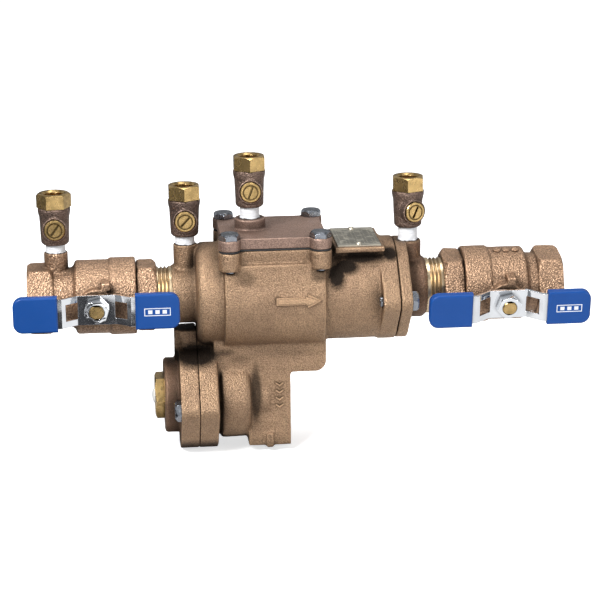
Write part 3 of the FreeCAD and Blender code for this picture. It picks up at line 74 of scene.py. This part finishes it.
class Surface:
    """A Principled material with short ways to add procedural texture to it."""

    def __init__(self, name, metallic, roughness, specular=0.5):
        self.material = bpy.data.materials.new(name)
        self.material.use_nodes = True
        self.tree = self.material.node_tree
        self.tree.nodes.clear()
        output = self.add("ShaderNodeOutputMaterial")
        self.shader = self.add("ShaderNodeBsdfPrincipled")
        self.link(self.shader.outputs["BSDF"], output.inputs["Surface"])
        self.shader.inputs["Metallic"].default_value = metallic
        self.shader.inputs["Roughness"].default_value = roughness
        self.shader.inputs["Specular IOR Level"].default_value = specular
        self.place = self.add("ShaderNodeTexCoord").outputs["Object"]
        self.normal = None

    def add(self, kind, **settings):
        node = self.tree.nodes.new(kind)
        for key, value in settings.items():
            setattr(node, key, value)
        return node

    def link(self, source, target):
        self.tree.links.new(source, target)

    def stretched(self, scale):
        """Object coordinates scaled differently along each axis."""
        mapping = self.add("ShaderNodeMapping")
        mapping.inputs["Scale"].default_value = scale
        self.link(self.place, mapping.inputs["Vector"])
        return mapping.outputs["Vector"]

    def noise(self, size_mm, detail=3.0, rough=0.5, at=None):
        """Noise whose features are about size_mm across."""
        node = self.add("ShaderNodeTexNoise")
        node.inputs["Scale"].default_value = 1 / (size_mm * MM)
        node.inputs["Detail"].default_value = detail
        node.inputs["Roughness"].default_value = rough
        self.link(at or self.place, node.inputs["Vector"])
        return node.outputs["Fac"]

    def pebbles(self, size_mm):
        """Rounded grains about size_mm across, bright in the middle."""
        node = self.add("ShaderNodeTexVoronoi", feature="SMOOTH_F1")
        node.inputs["Scale"].default_value = 1 / (size_mm * MM)
        node.inputs["Smoothness"].default_value = 0.6
        self.link(self.place, node.inputs["Vector"])
        return self.fit(node.outputs["Distance"], 0.0, 0.8, 1.0, 0.0)

    def fit(self, value, low, high, to_low, to_high):
        """A value's range low..high spread over to_low..to_high, and held there."""
        node = self.add("ShaderNodeMapRange")
        for name, number in (("From Min", low), ("From Max", high),
                             ("To Min", to_low), ("To Max", to_high)):
            node.inputs[name].default_value = number
        self.link(value, node.inputs["Value"])
        return node.outputs["Result"]

    def math(self, operation, first, second):
        """One sum on two values, each a socket or a number."""
        node = self.add("ShaderNodeMath", operation=operation)
        for socket, value in zip(node.inputs, (first, second)):
            if isinstance(value, (int, float)):
                socket.default_value = value
            else:
                self.link(value, socket)
        return node.outputs["Value"]

    def mix(self, factor, first, second):
        """The first colour at factor 0, the second at 1."""
        node = self.add("ShaderNodeMix", data_type="RGBA")
        for index, value in ((0, factor), (6, first), (7, second)):
            if isinstance(value, tuple):
                node.inputs[index].default_value = (*value, 1)
            elif isinstance(value, (int, float)):
                node.inputs[index].default_value = value
            else:
                self.link(value, node.inputs[index])
        return node.outputs[2]

    def crevices(self, reach_mm):
        """0 in the open, 1 deep in a corner; it masks the painted shade in corners."""
        node = self.add("ShaderNodeAmbientOcclusion", samples=8)
        node.inputs["Distance"].default_value = reach_mm * MM
        return self.fit(node.outputs["AO"], 0.42, 0.98, 1.0, 0.0)

    def edges(self):
        """1 on worn outer edges of a finely meshed piece, 0 elsewhere."""
        node = self.add("ShaderNodeNewGeometry")
        return self.fit(node.outputs["Pointiness"], 0.515, 0.56, 0.0, 1.0)

    def along(self, axis, low, high):
        """0 to 1 between two places on an axis, in millimetres."""
        node = self.add("ShaderNodeSeparateXYZ")
        self.link(self.place, node.inputs["Vector"])
        return self.fit(node.outputs[axis], low * MM, high * MM, 0.0, 1.0)

    def spots(self, places):
        """Soft dark patches of painted shadow; each place is a centre and three reaches in mm, then a depth."""
        grainy = self.fit(self.noise(1.2, 5, 0.75), 0.3, 0.7, -0.10, 0.10)
        drift = self.fit(self.noise(14, 2), 0.3, 0.7, -0.06, 0.06)
        ragged = self.math("ADD", grainy, drift)
        total = 0.0
        for centre, reach, depth in places:
            node = self.add("ShaderNodeMapping")
            node.inputs["Scale"].default_value = [1 / (r * MM) for r in reach]
            node.inputs["Location"].default_value = [-c / r for c, r in zip(centre, reach)]
            self.link(self.place, node.inputs["Vector"])
            away = self.add("ShaderNodeVectorMath", operation="LENGTH")
            self.link(node.outputs["Vector"], away.inputs[0])
            near = self.fit(away.outputs["Value"], 0.0, 1.0, 1.0, 0.0)
            uneven = self.math("ADD", self.math("MULTIPLY", near, 1.2), ragged)
            patch = self.fit(uneven, 0.16, 0.66, 0.0, depth)
            total = self.math("MAXIMUM", patch, total)
        return total

    def colour(self, value):
        self.link(value, self.shader.inputs["Base Color"])

    def roughness(self, value):
        self.link(value, self.shader.inputs["Roughness"])

    def bump(self, height, depth_mm, strength=1.0):
        """Add relief depth_mm deep on top of any relief added before."""
        node = self.add("ShaderNodeBump")
        node.inputs["Strength"].default_value = strength
        node.inputs["Distance"].default_value = depth_mm * MM
        self.link(height, node.inputs["Height"])
        if self.normal is not None:
            self.link(self.normal, node.inputs["Normal"])
        self.normal = node.outputs["Normal"]
        self.link(self.normal, self.shader.inputs["Normal"])


# Painted shadow patches, where shade falls on the castings: a centre and the reach along X, Y and Z in mm, then a
# depth.
# The first three lie over the relief flange, the next four under the plate's pad, and the rest
# under the front lugs, beside the relief drum, along the underside and on the inlet neck.
PAINTED_SHADOWS = [
    ((97, -16, -33), (20, 26, 10), 1.0), ((82, -10, -36), (12, 20, 8), 1.0),
    ((112, -24, -32), (14, 12, 5), 0.8),
    ((178, -26, 15), (8, 11, 14), 1.0), ((184, -24, 20), (12, 10, 8), 1.0),
    ((194, -21, 24), (26, 10, 6), 1.0), ((210, -18, 25), (8, 9, 8), 1.0),
    ((125, -32, 16), (9, 8, 7), 0.5), ((168, -32, 17), (8, 8, 7), 0.6),
    ((131, -20, -58), (5, 12, 27), 0.8), ((122, -24, -36), (14, 12, 6), 0.5),
    ((150, -26, -33), (50, 14, 6), 0.45), ((84, -18, 18), (8, 12, 8), 0.4),
]
# The hubs of the outlet and relief covers are redder than the rest of the castings.
REDDISH = (0.60, 0.52, 0.56)
OUTLET_HUB_X = 221.3
RELIEF_HUB_X = 86.8
RELIEF_HUB_TOP = -31


def cast_metal(name, light, dark, grain_mm, grain_depth, roughness=0.42, reddish_hubs_and_shadows=False):
    """Sand-cast bronze: grains, wide tint changes, painted shade in corners, worn edges and, if asked, reddish
    hubs and painted shadow patches.
    """
    s = Surface(name, 0.75, roughness)
    wide = s.fit(s.noise(38, 2), 0.35, 0.65, 0.25, 0.85)
    blotch = s.fit(s.noise(6, 4, 0.6), 0.38, 0.66, 0.0, 0.35)
    grain = s.pebbles(grain_mm)
    fine = s.noise(grain_mm * 0.6, 3, 0.6)
    tone = s.mix(wide, dark, light)
    if reddish_hubs_and_shadows:
        reddish = tuple(c * share for c, share in zip(dark, REDDISH))
        outlet = s.along("X", OUTLET_HUB_X, OUTLET_HUB_X + 1)
        relief = s.math("MULTIPLY", s.along("X", RELIEF_HUB_X, RELIEF_HUB_X - 0.8),
                        s.along("Z", RELIEF_HUB_TOP, RELIEF_HUB_TOP - 3))
        tone = s.mix(s.math("MULTIPLY", s.math("MAXIMUM", outlet, relief), 0.9), tone, reddish)
    tone = s.mix(blotch, tone, times(dark, 0.72))
    tone = s.mix(s.fit(grain, 0.2, 0.7, 0.60, 0.0), tone, times(dark, 0.35))
    speck = s.fit(s.noise(grain_mm * 1.3, 5, 0.7), 0.54, 0.68, 0.0, 0.6)
    tone = s.mix(speck, tone, times(dark, 0.35))
    tone = s.mix(s.math("MULTIPLY", s.edges(), 0.45), tone, times(light, 1.25))
    # Painted shade: the AO mask darkens corners and recesses, where shade falls, towards a near-black copy of the
    # dark tone, and roughens them.
    painted_shade = s.math("MULTIPLY", s.crevices(12), 0.92)
    if reddish_hubs_and_shadows:
        # Painted shadow: dark patches where overhangs and neighbouring parts shade the casting.
        painted_shade = s.math("MAXIMUM", painted_shade, s.spots(PAINTED_SHADOWS))
    s.colour(s.mix(painted_shade, tone, times(dark, 0.05)))
    s.roughness(s.math("ADD", s.fit(fine, 0.3, 0.7, roughness - 0.08, roughness + 0.16),
                       s.math("MULTIPLY", painted_shade, 0.25)))
    s.bump(s.noise(7, 3), 0.25, 0.5)
    s.bump(grain, grain_depth * 2.2, 1.0)
    s.bump(fine, grain_depth, 0.8)
    return s.material


def machined_metal(name, bright, shade, roughness, tarnish=0.35):
    """Turned or milled metal with tool marks, smudges and painted shade in its corners."""
    s = Surface(name, 1.0, roughness)
    smudge = s.fit(s.noise(5, 4, 0.6), 0.4, 0.7, 0.0, tarnish)
    tone = s.mix(smudge, bright, shade)
    # Painted shade: the AO mask darkens corners and recesses towards a near-black copy of the dark tone.
    tone = s.mix(s.math("MULTIPLY", s.crevices(2.5), 0.7), tone, times(shade, 0.2))
    s.colour(tone)
    lines = s.noise(0.35, 2, 0.5, s.stretched((0.25, 1.0, 3.0)))
    s.roughness(s.fit(s.noise(2.5, 3), 0.3, 0.7, roughness - 0.06, roughness + 0.12))
    s.bump(lines, 0.010, 0.25)
    return s.material


def plated_metal(name, colour, roughness, waviness):
    """Bright plating over rolled sheet: mirror-like with soft waves, clouds and painted shade in its corners."""
    s = Surface(name, 1.0, roughness)
    cloud = s.fit(s.noise(9, 4, 0.6), 0.4, 0.75, 0.0, 0.30)
    tone = s.mix(cloud, colour, times(colour, 0.62))
    # Painted shade: the AO mask darkens corners and recesses to near black.
    tone = s.mix(s.math("MULTIPLY", s.crevices(2.5), 0.6), tone, (0.03, 0.03, 0.035))
    s.colour(tone)
    s.roughness(s.fit(s.noise(4, 4, 0.65), 0.35, 0.7, roughness * 0.7, roughness * 2.0))
    s.bump(s.noise(14, 1), waviness, 0.6)
    s.bump(s.noise(0.5, 2, 0.5, s.stretched((0.2, 1, 1))), 0.01, 0.2)
    return s.material


def vinyl(name, colour):
    """Dipped vinyl: satin, with a shallow orange-peel skin."""
    s = Surface(name, 0.0, 0.34, 0.3)
    haze = s.fit(s.noise(14, 3), 0.4, 0.7, 0.0, 0.18)
    s.colour(s.mix(haze, colour, tuple(min(1, c * 1.25 + 0.004) for c in colour)))
    s.roughness(s.fit(s.noise(3, 3), 0.3, 0.7, 0.28, 0.42))
    s.bump(s.noise(2.2, 2), 0.03, 0.35)
    s.bump(s.noise(9, 1), 0.16, 0.4)
    return s.material


def rubber(name, colour):
    """Dull moulded rubber with a greyish bloom."""
    s = Surface(name, 0.0, 0.62)
    s.colour(s.mix(s.fit(s.noise(2, 3), 0.4, 0.7, 0.0, 0.5), colour, times(colour, 2.2)))
    s.bump(s.noise(0.4, 2), 0.02, 0.4)
    return s.material


def plastic(name, colour, roughness):
    """Moulded plastic or print, a little uneven in shade and gloss."""
    s = Surface(name, 0.0, roughness)
    s.colour(s.mix(s.fit(s.noise(8, 3), 0.4, 0.7, 0.0, 0.4), colour, times(colour, 0.8)))
    s.roughness(s.fit(s.noise(1.5, 2), 0.3, 0.7, roughness - 0.08, roughness + 0.08))
    s.bump(s.noise(0.6, 2), 0.015, 0.35)
    return s.material


def tape_white(name):
    """Wrapped thread tape: thin turns, greyer along their edges."""
    s = Surface(name, 0.0, 0.5)
    turns = s.noise(0.8, 3, 0.5, s.stretched((0.2, 0.2, 1.6)))
    s.colour(s.mix(s.fit(turns, 0.4, 0.7, 0.0, 0.5), (0.86, 0.87, 0.89), (0.62, 0.64, 0.68)))
    s.bump(turns, 0.12, 0.7)
    return s.material


def printed_plate(name, colour, ink):
    """Satin plate with unlettered printed lines, the rows and columns of a form."""
    s = Surface(name, 1.0, 0.40)
    fields = s.add("ShaderNodeTexBrick", offset=0.37, squash=1.0)
    fields.inputs["Scale"].default_value = 1 / (4 * MM)
    fields.inputs["Mortar Size"].default_value = 0.11
    fields.inputs["Mortar Smooth"].default_value = 0.3
    fields.inputs["Brick Width"].default_value = 1.3
    fields.inputs["Row Height"].default_value = 0.42
    s.link(s.place, fields.inputs["Vector"])
    haze = s.fit(s.noise(7, 4), 0.4, 0.7, 0.0, 0.5)
    tone = s.mix(haze, colour, times(colour, 0.6))
    inked = s.math("MULTIPLY", s.fit(s.noise(5, 2), 0.38, 0.46, 0.0, 0.9),
                   s.math("SUBTRACT", 1.0, fields.outputs["Fac"]))
    inside = s.math("MULTIPLY", s.along("Y", -18, -17), s.along("Y", 16, 15))
    s.colour(s.mix(s.math("MULTIPLY", inked, inside), tone, ink))
    s.roughness(s.fit(s.noise(3, 3), 0.3, 0.7, 0.30, 0.55))
    s.bump(s.noise(0.5, 2, 0.5, s.stretched((1, 0.15, 1))), 0.01, 0.3)
    s.bump(s.noise(11, 2), 0.4, 0.5)
    return s.material


LOOKS = {
    "cast_bronze": cast_metal("sand_cast_bronze", (0.66, 0.435, 0.265), (0.42, 0.27, 0.17), 0.65, 0.13,
                              reddish_hubs_and_shadows=True),
    "valve_bronze": cast_metal("valve_bronze", (0.72, 0.46, 0.295), (0.52, 0.325, 0.205), 1.0, 0.20,
                               0.38),
    "cover_bronze": cast_metal("cover_bronze", (0.55, 0.375, 0.295), (0.43, 0.285, 0.225), 0.6, 0.07,
                               0.46),
    "cock_bronze": cast_metal("cock_bronze", (0.38, 0.26, 0.20), (0.20, 0.135, 0.11), 0.7, 0.16, 0.36),
    "machined_brass": machined_metal("machined_brass", (0.66, 0.45, 0.19), (0.22, 0.15, 0.06), 0.27,
                                     0.6),
    "zinc_steel": plated_metal("zinc_steel", (0.34, 0.36, 0.40), 0.20, 0.05),
    "plated_steel": plated_metal("plated_steel", (0.90, 0.92, 0.95), 0.05, 0.22),
    "stainless_steel": plated_metal("stainless_steel", (0.55, 0.55, 0.55), 0.25, 0.02),
    "nickel_plate": printed_plate("nickel_plate", (0.66, 0.62, 0.52), (0.12, 0.11, 0.09)),
    "blue_vinyl": vinyl("blue_vinyl", (0.006, 0.062, 0.27)),
    "moulded_plastic": plastic("moulded_plastic", (0.05, 0.05, 0.055), 0.45),
    "white_ptfe": plastic("white_ptfe", (0.78, 0.78, 0.77), 0.45),
    "black_rubber": rubber("black_rubber", (0.02, 0.02, 0.021)),
}
SLOT_OF = {entry["node"]: entry["material_slot"] for entry in frame["record"]["subparts"]}
BODY_OF = {node: body for body, nodes in frame["record"]["behaviour"]["bodies"].items()
           for node in nodes}
tape_look = tape_white("thread_tape_white")
nipple_look = machined_metal("nipple_brass", (0.97, 0.76, 0.50), (0.62, 0.44, 0.26), 0.30)

for node, thing in frame["nodes"].items():
    look = nipple_look if node.endswith("nipple") else LOOKS[SLOT_OF[node]]
    thing.data.materials.clear()
    thing.data.materials.append(look)


# ---------------------------------------------------------------- pieces

def welded(node):
    """The node's CAD mesh with its split vertices joined, as a bmesh."""
    shape = bmesh.new()
    shape.from_mesh(frame["nodes"][node].data)
    bmesh.ops.remove_doubles(shape, verts=shape.verts, dist=1e-6)
    return shape


def add_piece(name, shape, body, slot, look=None):
    """Turn a bmesh into a piece that rides on a body and has a slot's look, unless given its own."""
    mesh = bpy.data.meshes.new(name)
    shape.to_mesh(mesh)
    shape.free()
    piece = bpy.data.objects.new(name, mesh)
    bpy.context.scene.collection.objects.link(piece)
    mesh.materials.append(look or LOOKS[slot])
    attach(piece, body)
    return piece


def settle(piece, smooth=True):
    """Apply the piece's modifiers, and shade it smooth all over unless told not to."""
    depsgraph = bpy.context.evaluated_depsgraph_get()
    done = bpy.data.meshes.new_from_object(piece.evaluated_get(depsgraph))
    piece.modifiers.clear()
    piece.data = done
    if smooth:
        for face in done.polygons:
            face.use_smooth = True
    return piece


def lumps(name, size_mm):
    """A cloudy height texture for displacing a casting's skin."""
    texture = bpy.data.textures.new(name, "CLOUDS")
    texture.noise_scale = size_mm * MM
    texture.noise_depth = 2
    return texture


# Each relief of a casting's skin, with its depth in mm.
SKIN = [(lumps("casting_waves", 9), 0.35), (lumps("casting_pits", 1.6), 0.10)]
# Edges that turn less than this, in degrees, are part of a curve and stay smooth.
CURVE_DEGREES = 32


def cast_copy(node, voxel_mm, rounds):
    """A casting's stand-in: filleted corners and an uneven sand-mould skin."""
    piece = add_piece(node + "_casting", welded(node), BODY_OF[node], SLOT_OF[node])
    skin = piece.modifiers.new("skin", "REMESH")
    skin.mode = "VOXEL"
    skin.voxel_size = voxel_mm * MM
    fillets = piece.modifiers.new("fillets", "SMOOTH")
    fillets.factor = 0.5
    fillets.iterations = rounds
    for texture, depth in SKIN:
        relief = piece.modifiers.new(texture.name, "DISPLACE")
        relief.texture = texture
        relief.texture_coords = "LOCAL"
        relief.strength = depth * MM
        relief.mid_level = 0.5
    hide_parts(node)
    return settle(piece)


def edged_copy(node, width_mm):
    """A machined or pressed piece's stand-in with small rounded edges."""
    sharp = math.radians(CURVE_DEGREES)
    shape = welded(node)
    bmesh.ops.dissolve_limit(shape, angle_limit=math.radians(1.0), verts=shape.verts,
                             edges=shape.edges)
    for face in shape.faces:
        face.smooth = True
    for edge in shape.edges:
        edge.smooth = len(edge.link_faces) == 2 and edge.calc_face_angle(0) < sharp
    piece = add_piece(node + "_edged", shape, BODY_OF[node], SLOT_OF[node])
    edges = piece.modifiers.new("edges", "BEVEL")
    edges.width = width_mm * MM
    edges.segments = 2
    edges.limit_method = "ANGLE"
    edges.angle_limit = sharp
    edges.harden_normals = True
    edges.use_clamp_overlap = True
    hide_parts(node)
    return settle(piece, False)


def pressed_copy(node):
    """A spring's stand-in, welded and shaded smooth, with a mesh of its own."""
    piece = add_piece(node + "_pressed", welded(node), BODY_OF[node], SLOT_OF[node])
    for face in piece.data.polygons:
        face.use_smooth = True
    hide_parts(node)
    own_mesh(piece)


# Each casting's voxel in mm and its rounds of smoothing, which round the corners.
CASTINGS = {
    "main_body": (0.75, 6),
    "top_cover": (0.6, 5),
    "outlet_cover": (0.6, 6),
    "relief_cover": (0.6, 6),
    "inlet_valve_body": (0.5, 7),
    "outlet_valve_body": (0.5, 7),
    "inlet_valve_end_cap": (0.5, 5),
    "outlet_valve_end_cap": (0.5, 5),
    "test_cock_bodies": (0.4, 5),
}
# The width in mm of each machined or pressed piece's rounded edges.
EDGED = {
    "test_cock_caps": 0.3,
    "cover_bolts": 0.25,
    "outlet_cover_bolts": 0.25,
    "relief_cover_bolts": 0.25,
    "inlet_handle": 0.3,
    "outlet_handle": 0.3,
    "inlet_handle_nut": 0.25,
    "outlet_handle_nut": 0.25,
    "relief_plug": 0.3,
    "id_plate": 0.15,
    "inlet_valve_ball": 0.3,
    "outlet_valve_ball": 0.3,
}
for node, (voxel, rounds) in CASTINGS.items():
    cast_copy(node, voxel, rounds)
for node, width in EDGED.items():
    edged_copy(node, width)
for joint in frame["record"]["behaviour"]["joints"]:
    for soft in joint.get("deforming_nodes", []):
        if soft["node"].endswith("_spring"):
            pressed_copy(soft["node"])


# ---------------------------------------------------------------- small pieces

def raised(name, outlines, height_mm, bevel_mm, place, body, slot, look=None):
    """Flat outlines in millimetres, raised along +Z of the given placement."""
    shape = bmesh.new()
    for outline in outlines:
        corners = [shape.verts.new((x * MM, y * MM, 0)) for x, y in outline]
        top = bmesh.ops.extrude_face_region(shape, geom=[shape.faces.new(corners)])["geom"]
        bmesh.ops.translate(shape, vec=(0, 0, height_mm * MM),
                            verts=[v for v in top if isinstance(v, bmesh.types.BMVert)])
    bmesh.ops.recalc_face_normals(shape, faces=shape.faces)
    bmesh.ops.transform(shape, matrix=place, verts=shape.verts)
    piece = add_piece(name, shape, body, slot, look)
    edges = piece.modifiers.new("edges", "BEVEL")
    edges.width = bevel_mm * MM
    edges.segments = 2
    edges.limit_method = "ANGLE"
    edges.angle_limit = math.radians(50)
    return settle(piece, False)


def facing_front(x_mm, y_mm, z_mm):
    """A placement whose X stays X, whose Y is up and whose Z looks to the front."""
    turn = Matrix(((1, 0, 0), (0, 0, -1), (0, 1, 0))).to_4x4()
    return Matrix.Translation(Vector((x_mm, y_mm, z_mm)) * MM) @ turn


def flow_arrow():
    """Raised arrow on the chest, pointing with the flow, and a smaller one raised on it."""
    shaft, tip = 18.0, 26.3
    thin, wide = 2.3, 4.3
    outline = [(0, -thin), (shaft, -thin), (shaft, -wide), (tip, 0), (shaft, wide), (shaft, thin),
               (0, thin)]
    panel = [(x * 0.90 + 0.9, y * 0.62) for x, y in outline]
    place = facing_front(142.4, -32.5, 2.2)
    raised("flow_arrow", [outline], 1.7, 0.3, place, "body", "cast_bronze")
    raised("flow_arrow_panel", [panel], 1.95, 0.2, place, "body", "cast_bronze")


def vent_marks():
    """Four raised chevrons pointing down the relief outlet."""
    chevron = [(-2.4, 1.0), (0, -0.7), (2.4, 1.0), (2.4, 2.2), (0, 0.5), (-2.4, 2.2)]
    spacing = 4.4
    outlines = [[(x, y - spacing * n) for x, y in chevron] for n in range(4)]
    place = facing_front(144.9, -17.7, -53.0)
    raised("vent_marks", outlines, 1.15, 0.25, place, "body", "cast_bronze")


def round_outline(middle, radius):
    """A circle's outline in twenty sides, its middle on the X axis."""
    turns = [math.tau * n / 20 for n in range(20)]
    return [(middle + radius * math.cos(turn), radius * math.sin(turn)) for turn in turns]


def rating_marks():
    """Three raised round pads on top of the outlet shutoff."""
    pad_radius, spacing = 2.1, 5.4
    shutoff_x, shutoff_radius, lean = 281.0, 21.35, math.radians(14)
    place = Matrix.Translation((shutoff_x * MM, 0, 0)) @ Matrix.Rotation(lean, 4, "X")
    place = place @ Matrix.Translation((0, 0, shutoff_radius * MM))
    outlines = [round_outline(x, pad_radius) for x in (-spacing, 0, spacing)]
    raised("rating_marks", outlines, 1.15, 0.45, place, "body", "valve_bronze")


def box_outline(left, low, right, high):
    """A rectangle's outline."""
    return [(left, low), (right, low), (right, high), (left, high)]


def grip_marks(joint_name):
    """A plain printed frame with three bars on a shutoff's right-hand grip."""
    joint = next(j for j in frame["joints"] if j["name"] == joint_name)
    lean = math.atan2(joint["axis"][2], joint["axis"][1])
    stem_to_grip_front = 38.0
    left, right, top, line = 27.0, 42.0, 2.3, 0.45
    outlines = [box_outline(left, -top, right, line - top),
                box_outline(left, top - line, right, top),
                box_outline(left, line - top, left + line, top - line),
                box_outline(right - line, line - top, right, top - line)]
    first, spacing, bar_width, bar_top = 29.2, 4.1, 2.4, 1.1
    for n in range(3):
        start = first + spacing * n
        outlines.append(box_outline(start, -bar_top, start + bar_width, bar_top))
    place = Matrix.Translation(joint["pos_m"]) @ Matrix.Rotation(lean, 4, "X")
    place = place @ facing_front(0, -stem_to_grip_front, 0)
    raised(joint_name + "_print", outlines, 0.06, 0.01, place, joint["child"], "white_ptfe",
           print_look)


TAPE_SIDES = 72


def tape_ring(shape, middle, radius, z, part):
    """One ring of the tape's outside; part runs from 0 at its lower edge to 1 at its upper."""
    turns, turn_step, crease, sunk = 3.2, 0.16, 0.10, 0.67
    ragged, flare, flare_height = 0.5, 0.9, 0.16
    ring = []
    for n in range(TAPE_SIDES):
        angle = math.tau * n / TAPE_SIDES
        seed = Vector((math.cos(angle) * 2.2, math.sin(angle) * 2.2, middle * 300))
        lift = ragged * noise.noise(seed * 1.7) * (1 - part) ** 3
        out = turn_step * ((part * turns + n / TAPE_SIDES) % 1.0) - sunk
        out += crease * noise.noise(seed + Vector((0, 0, part * 6)))
        out += (flare * max(0.0, flare_height - part) / flare_height
                * max(0.0, noise.noise(seed * 2.1) + 0.15))
        reach = radius + out * MM
        ring.append(shape.verts.new((middle + reach * math.cos(angle), reach * math.sin(angle),
                                     z + lift * MM)))
    return ring


def tape_bands():
    """Thread tape on each test cock: uneven turns with a ragged lower edge."""
    corners = [v.co.copy() for v in frame["nodes"]["thread_tape"].data.vertices]
    shape = bmesh.new()
    levels, near_cock, inner_radius = 14, 9 * MM, 5.2 * MM
    for mount in frame["record"]["mounts"]:
        if not mount["name"].startswith("test_cock"):
            continue
        x = mount["pos_m"][0]
        mine = [c for c in corners if abs(c.x - x) < near_cock]
        low, high = min(c.z for c in mine), max(c.z for c in mine)
        radius = max(c.x for c in mine) - x
        rings = [tape_ring(shape, x, radius, low + (high - low) * level / levels, level / levels)
                 for level in range(levels + 1)]
        turns = [math.tau * n / TAPE_SIDES for n in range(TAPE_SIDES)]
        rings += [[shape.verts.new((x + inner_radius * math.cos(turn),
                                    inner_radius * math.sin(turn), z))
                   for turn in turns] for z in (high, low)]
        for first, second in zip(rings, rings[1:] + rings[:1]):
            for n in range(TAPE_SIDES):
                m = (n + 1) % TAPE_SIDES
                shape.faces.new((first[n], first[m], second[m], second[n]))
    bmesh.ops.recalc_face_normals(shape, faces=shape.faces)
    piece = add_piece("tape_bands", shape, "body", "white_ptfe", tape_look)
    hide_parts("thread_tape")
    settle(piece)


print_look = plastic("printed_white", (0.82, 0.85, 0.90), 0.4)
flow_arrow()
vent_marks()
rating_marks()
tape_bands()
for name in ("inlet_handle_turn", "outlet_handle_turn"):
    grip_marks(name)


# ---------------------------------------------------------------- stage

def pale_floor():
    """A wide floor just under the lowest point, curving up far behind.

    The camera sees it plain and pale. Bounced and mirrored light meets dark and light patches
    instead, which give the bright plating its contrast.
    """
    low = cad_bounds[0].z - 0.3 * MM
    shape = bmesh.new()
    width, rise = 12.0, 3.0
    profile = [(-8.0, 0.0), (5.0, 0.0)]
    profile += [(5.0 + rise * math.sin(a), rise * (1 - math.cos(a)))
                for a in (math.radians(15 * n) for n in range(1, 7))]
    rows = [[shape.verts.new((side * width, y, low + z)) for side in (-1, 1)] for y, z in profile]
    for near, far in zip(rows, rows[1:]):
        shape.faces.new((near[0], near[1], far[1], far[0]))
    mesh = bpy.data.meshes.new("floor")
    shape.to_mesh(mesh)
    shape.free()
    floor = bpy.data.objects.new("floor", mesh)
    bpy.context.scene.collection.objects.link(floor)
    s = Surface("pale_floor", 0.0, 0.9, 0.1)
    seen = s.add("ShaderNodeLightPath").outputs["Is Camera Ray"]
    paint = s.mix(s.fit(s.noise(400, 2), 0.3, 0.7, 0.0, 1.0), (0.93, 0.93, 0.93), (0.9, 0.9, 0.9))
    rightward = s.math("MULTIPLY", s.along("X", 0, 200), 0.5)
    folds = s.fit(s.math("ADD", s.noise(38, 0), rightward), 0.60, 0.68, 0.0, 1.0)
    bounce = s.mix(folds, (0.02, 0.02, 0.022), (0.66, 0.66, 0.66))
    s.colour(s.mix(seen, bounce, paint))
    s.shader.inputs["Emission Color"].default_value = (1, 1, 1, 1)
    s.link(s.math("MULTIPLY", seen, 0.66), s.shader.inputs["Emission Strength"])
    mesh.materials.append(s.material)


def soft_light(name, at, towards, size, power):
    """A soft rectangular lamp; metres and watts."""
    lamp = bpy.data.lights.new(name, "AREA")
    lamp.shape = "RECTANGLE"
    lamp.size, lamp.size_y = size
    lamp.energy = power
    holder = bpy.data.objects.new(name, lamp)
    holder.location = at
    holder.rotation_euler = (Vector(towards) - Vector(at)).to_track_quat("-Z", "Y").to_euler()
    bpy.context.scene.collection.objects.link(holder)


def set_camera(target, turn, rise, roll, away, shift_right, shift_up, lens):
    """A camera looking at a point: angles in degrees, distances in metres, the lens in mm."""
    a, e, r = (math.radians(x) for x in (turn, rise, roll))
    back = Vector((math.sin(a) * math.cos(e), -math.cos(a) * math.cos(e), math.sin(e)))
    level = Vector((math.cos(a), math.sin(a), 0))
    upright = back.cross(level)
    right = math.cos(r) * level + math.sin(r) * upright
    up = math.cos(r) * upright - math.sin(r) * level
    data = bpy.data.cameras.new("camera")
    data.sensor_width = 36
    data.lens = lens
    camera = bpy.data.objects.new("camera", data)
    place = Matrix((right, up, back)).transposed().to_4x4()
    place.translation = target + back * away - right * shift_right - up * shift_up
    camera.matrix_world = place
    bpy.context.scene.collection.objects.link(camera)
    bpy.context.scene.camera = camera


def studio_world():
    """Soft surroundings: dark at the horizon, then a bright band, a dark one and a light top."""
    world = bpy.data.worlds.new("studio")
    world.use_nodes = True
    tree = world.node_tree
    place = tree.nodes.new("ShaderNodeTexCoord")
    split = tree.nodes.new("ShaderNodeSeparateXYZ")
    ramp = tree.nodes.new("ShaderNodeValToRGB")
    tree.links.new(place.outputs["Generated"], split.inputs["Vector"])
    tree.links.new(split.outputs["Z"], ramp.inputs["Fac"])
    tree.links.new(ramp.outputs["Color"], tree.nodes["Background"].inputs["Color"])
    # Each stop: the height of the direction's unit vector, then how bright it is there.
    stops = ((0.0, 0.25), (0.12, 0.12), (0.3, 1.0), (0.55, 0.9), (0.7, 0.25), (1.0, 0.8))
    for n, (at, level) in enumerate(stops):
        stop = ramp.color_ramp.elements[n] if n < 2 else ramp.color_ramp.elements.new(at)
        stop.position = at
        stop.color = (level * 0.96, level * 0.98, level, 1)
    tree.nodes["Background"].inputs["Strength"].default_value = 0.55
    bpy.context.scene.world = world


middle = Vector((0.159, 0, 0))
pale_floor()
soft_light("key", (-0.70, -1.05, 1.15), middle, (0.55, 0.55), 36.5)
soft_light("top", (0.35, 0.15, 1.5), middle, (0.9, 0.6), 8)
soft_light("side", (1.25, -0.9, 0.15), middle, (0.35, 0.8), 5)
soft_light("fill", (0.25, -1.6, 0.02), middle, (0.9, 0.14), 1.6)
studio_world()
bpy.context.scene.view_settings.view_transform = "Standard"
set_camera(middle, turn=-5.5, rise=15.7, roll=-0.5, away=1.239, shift_right=-0.0003,
           shift_up=0.0063, lens=126)
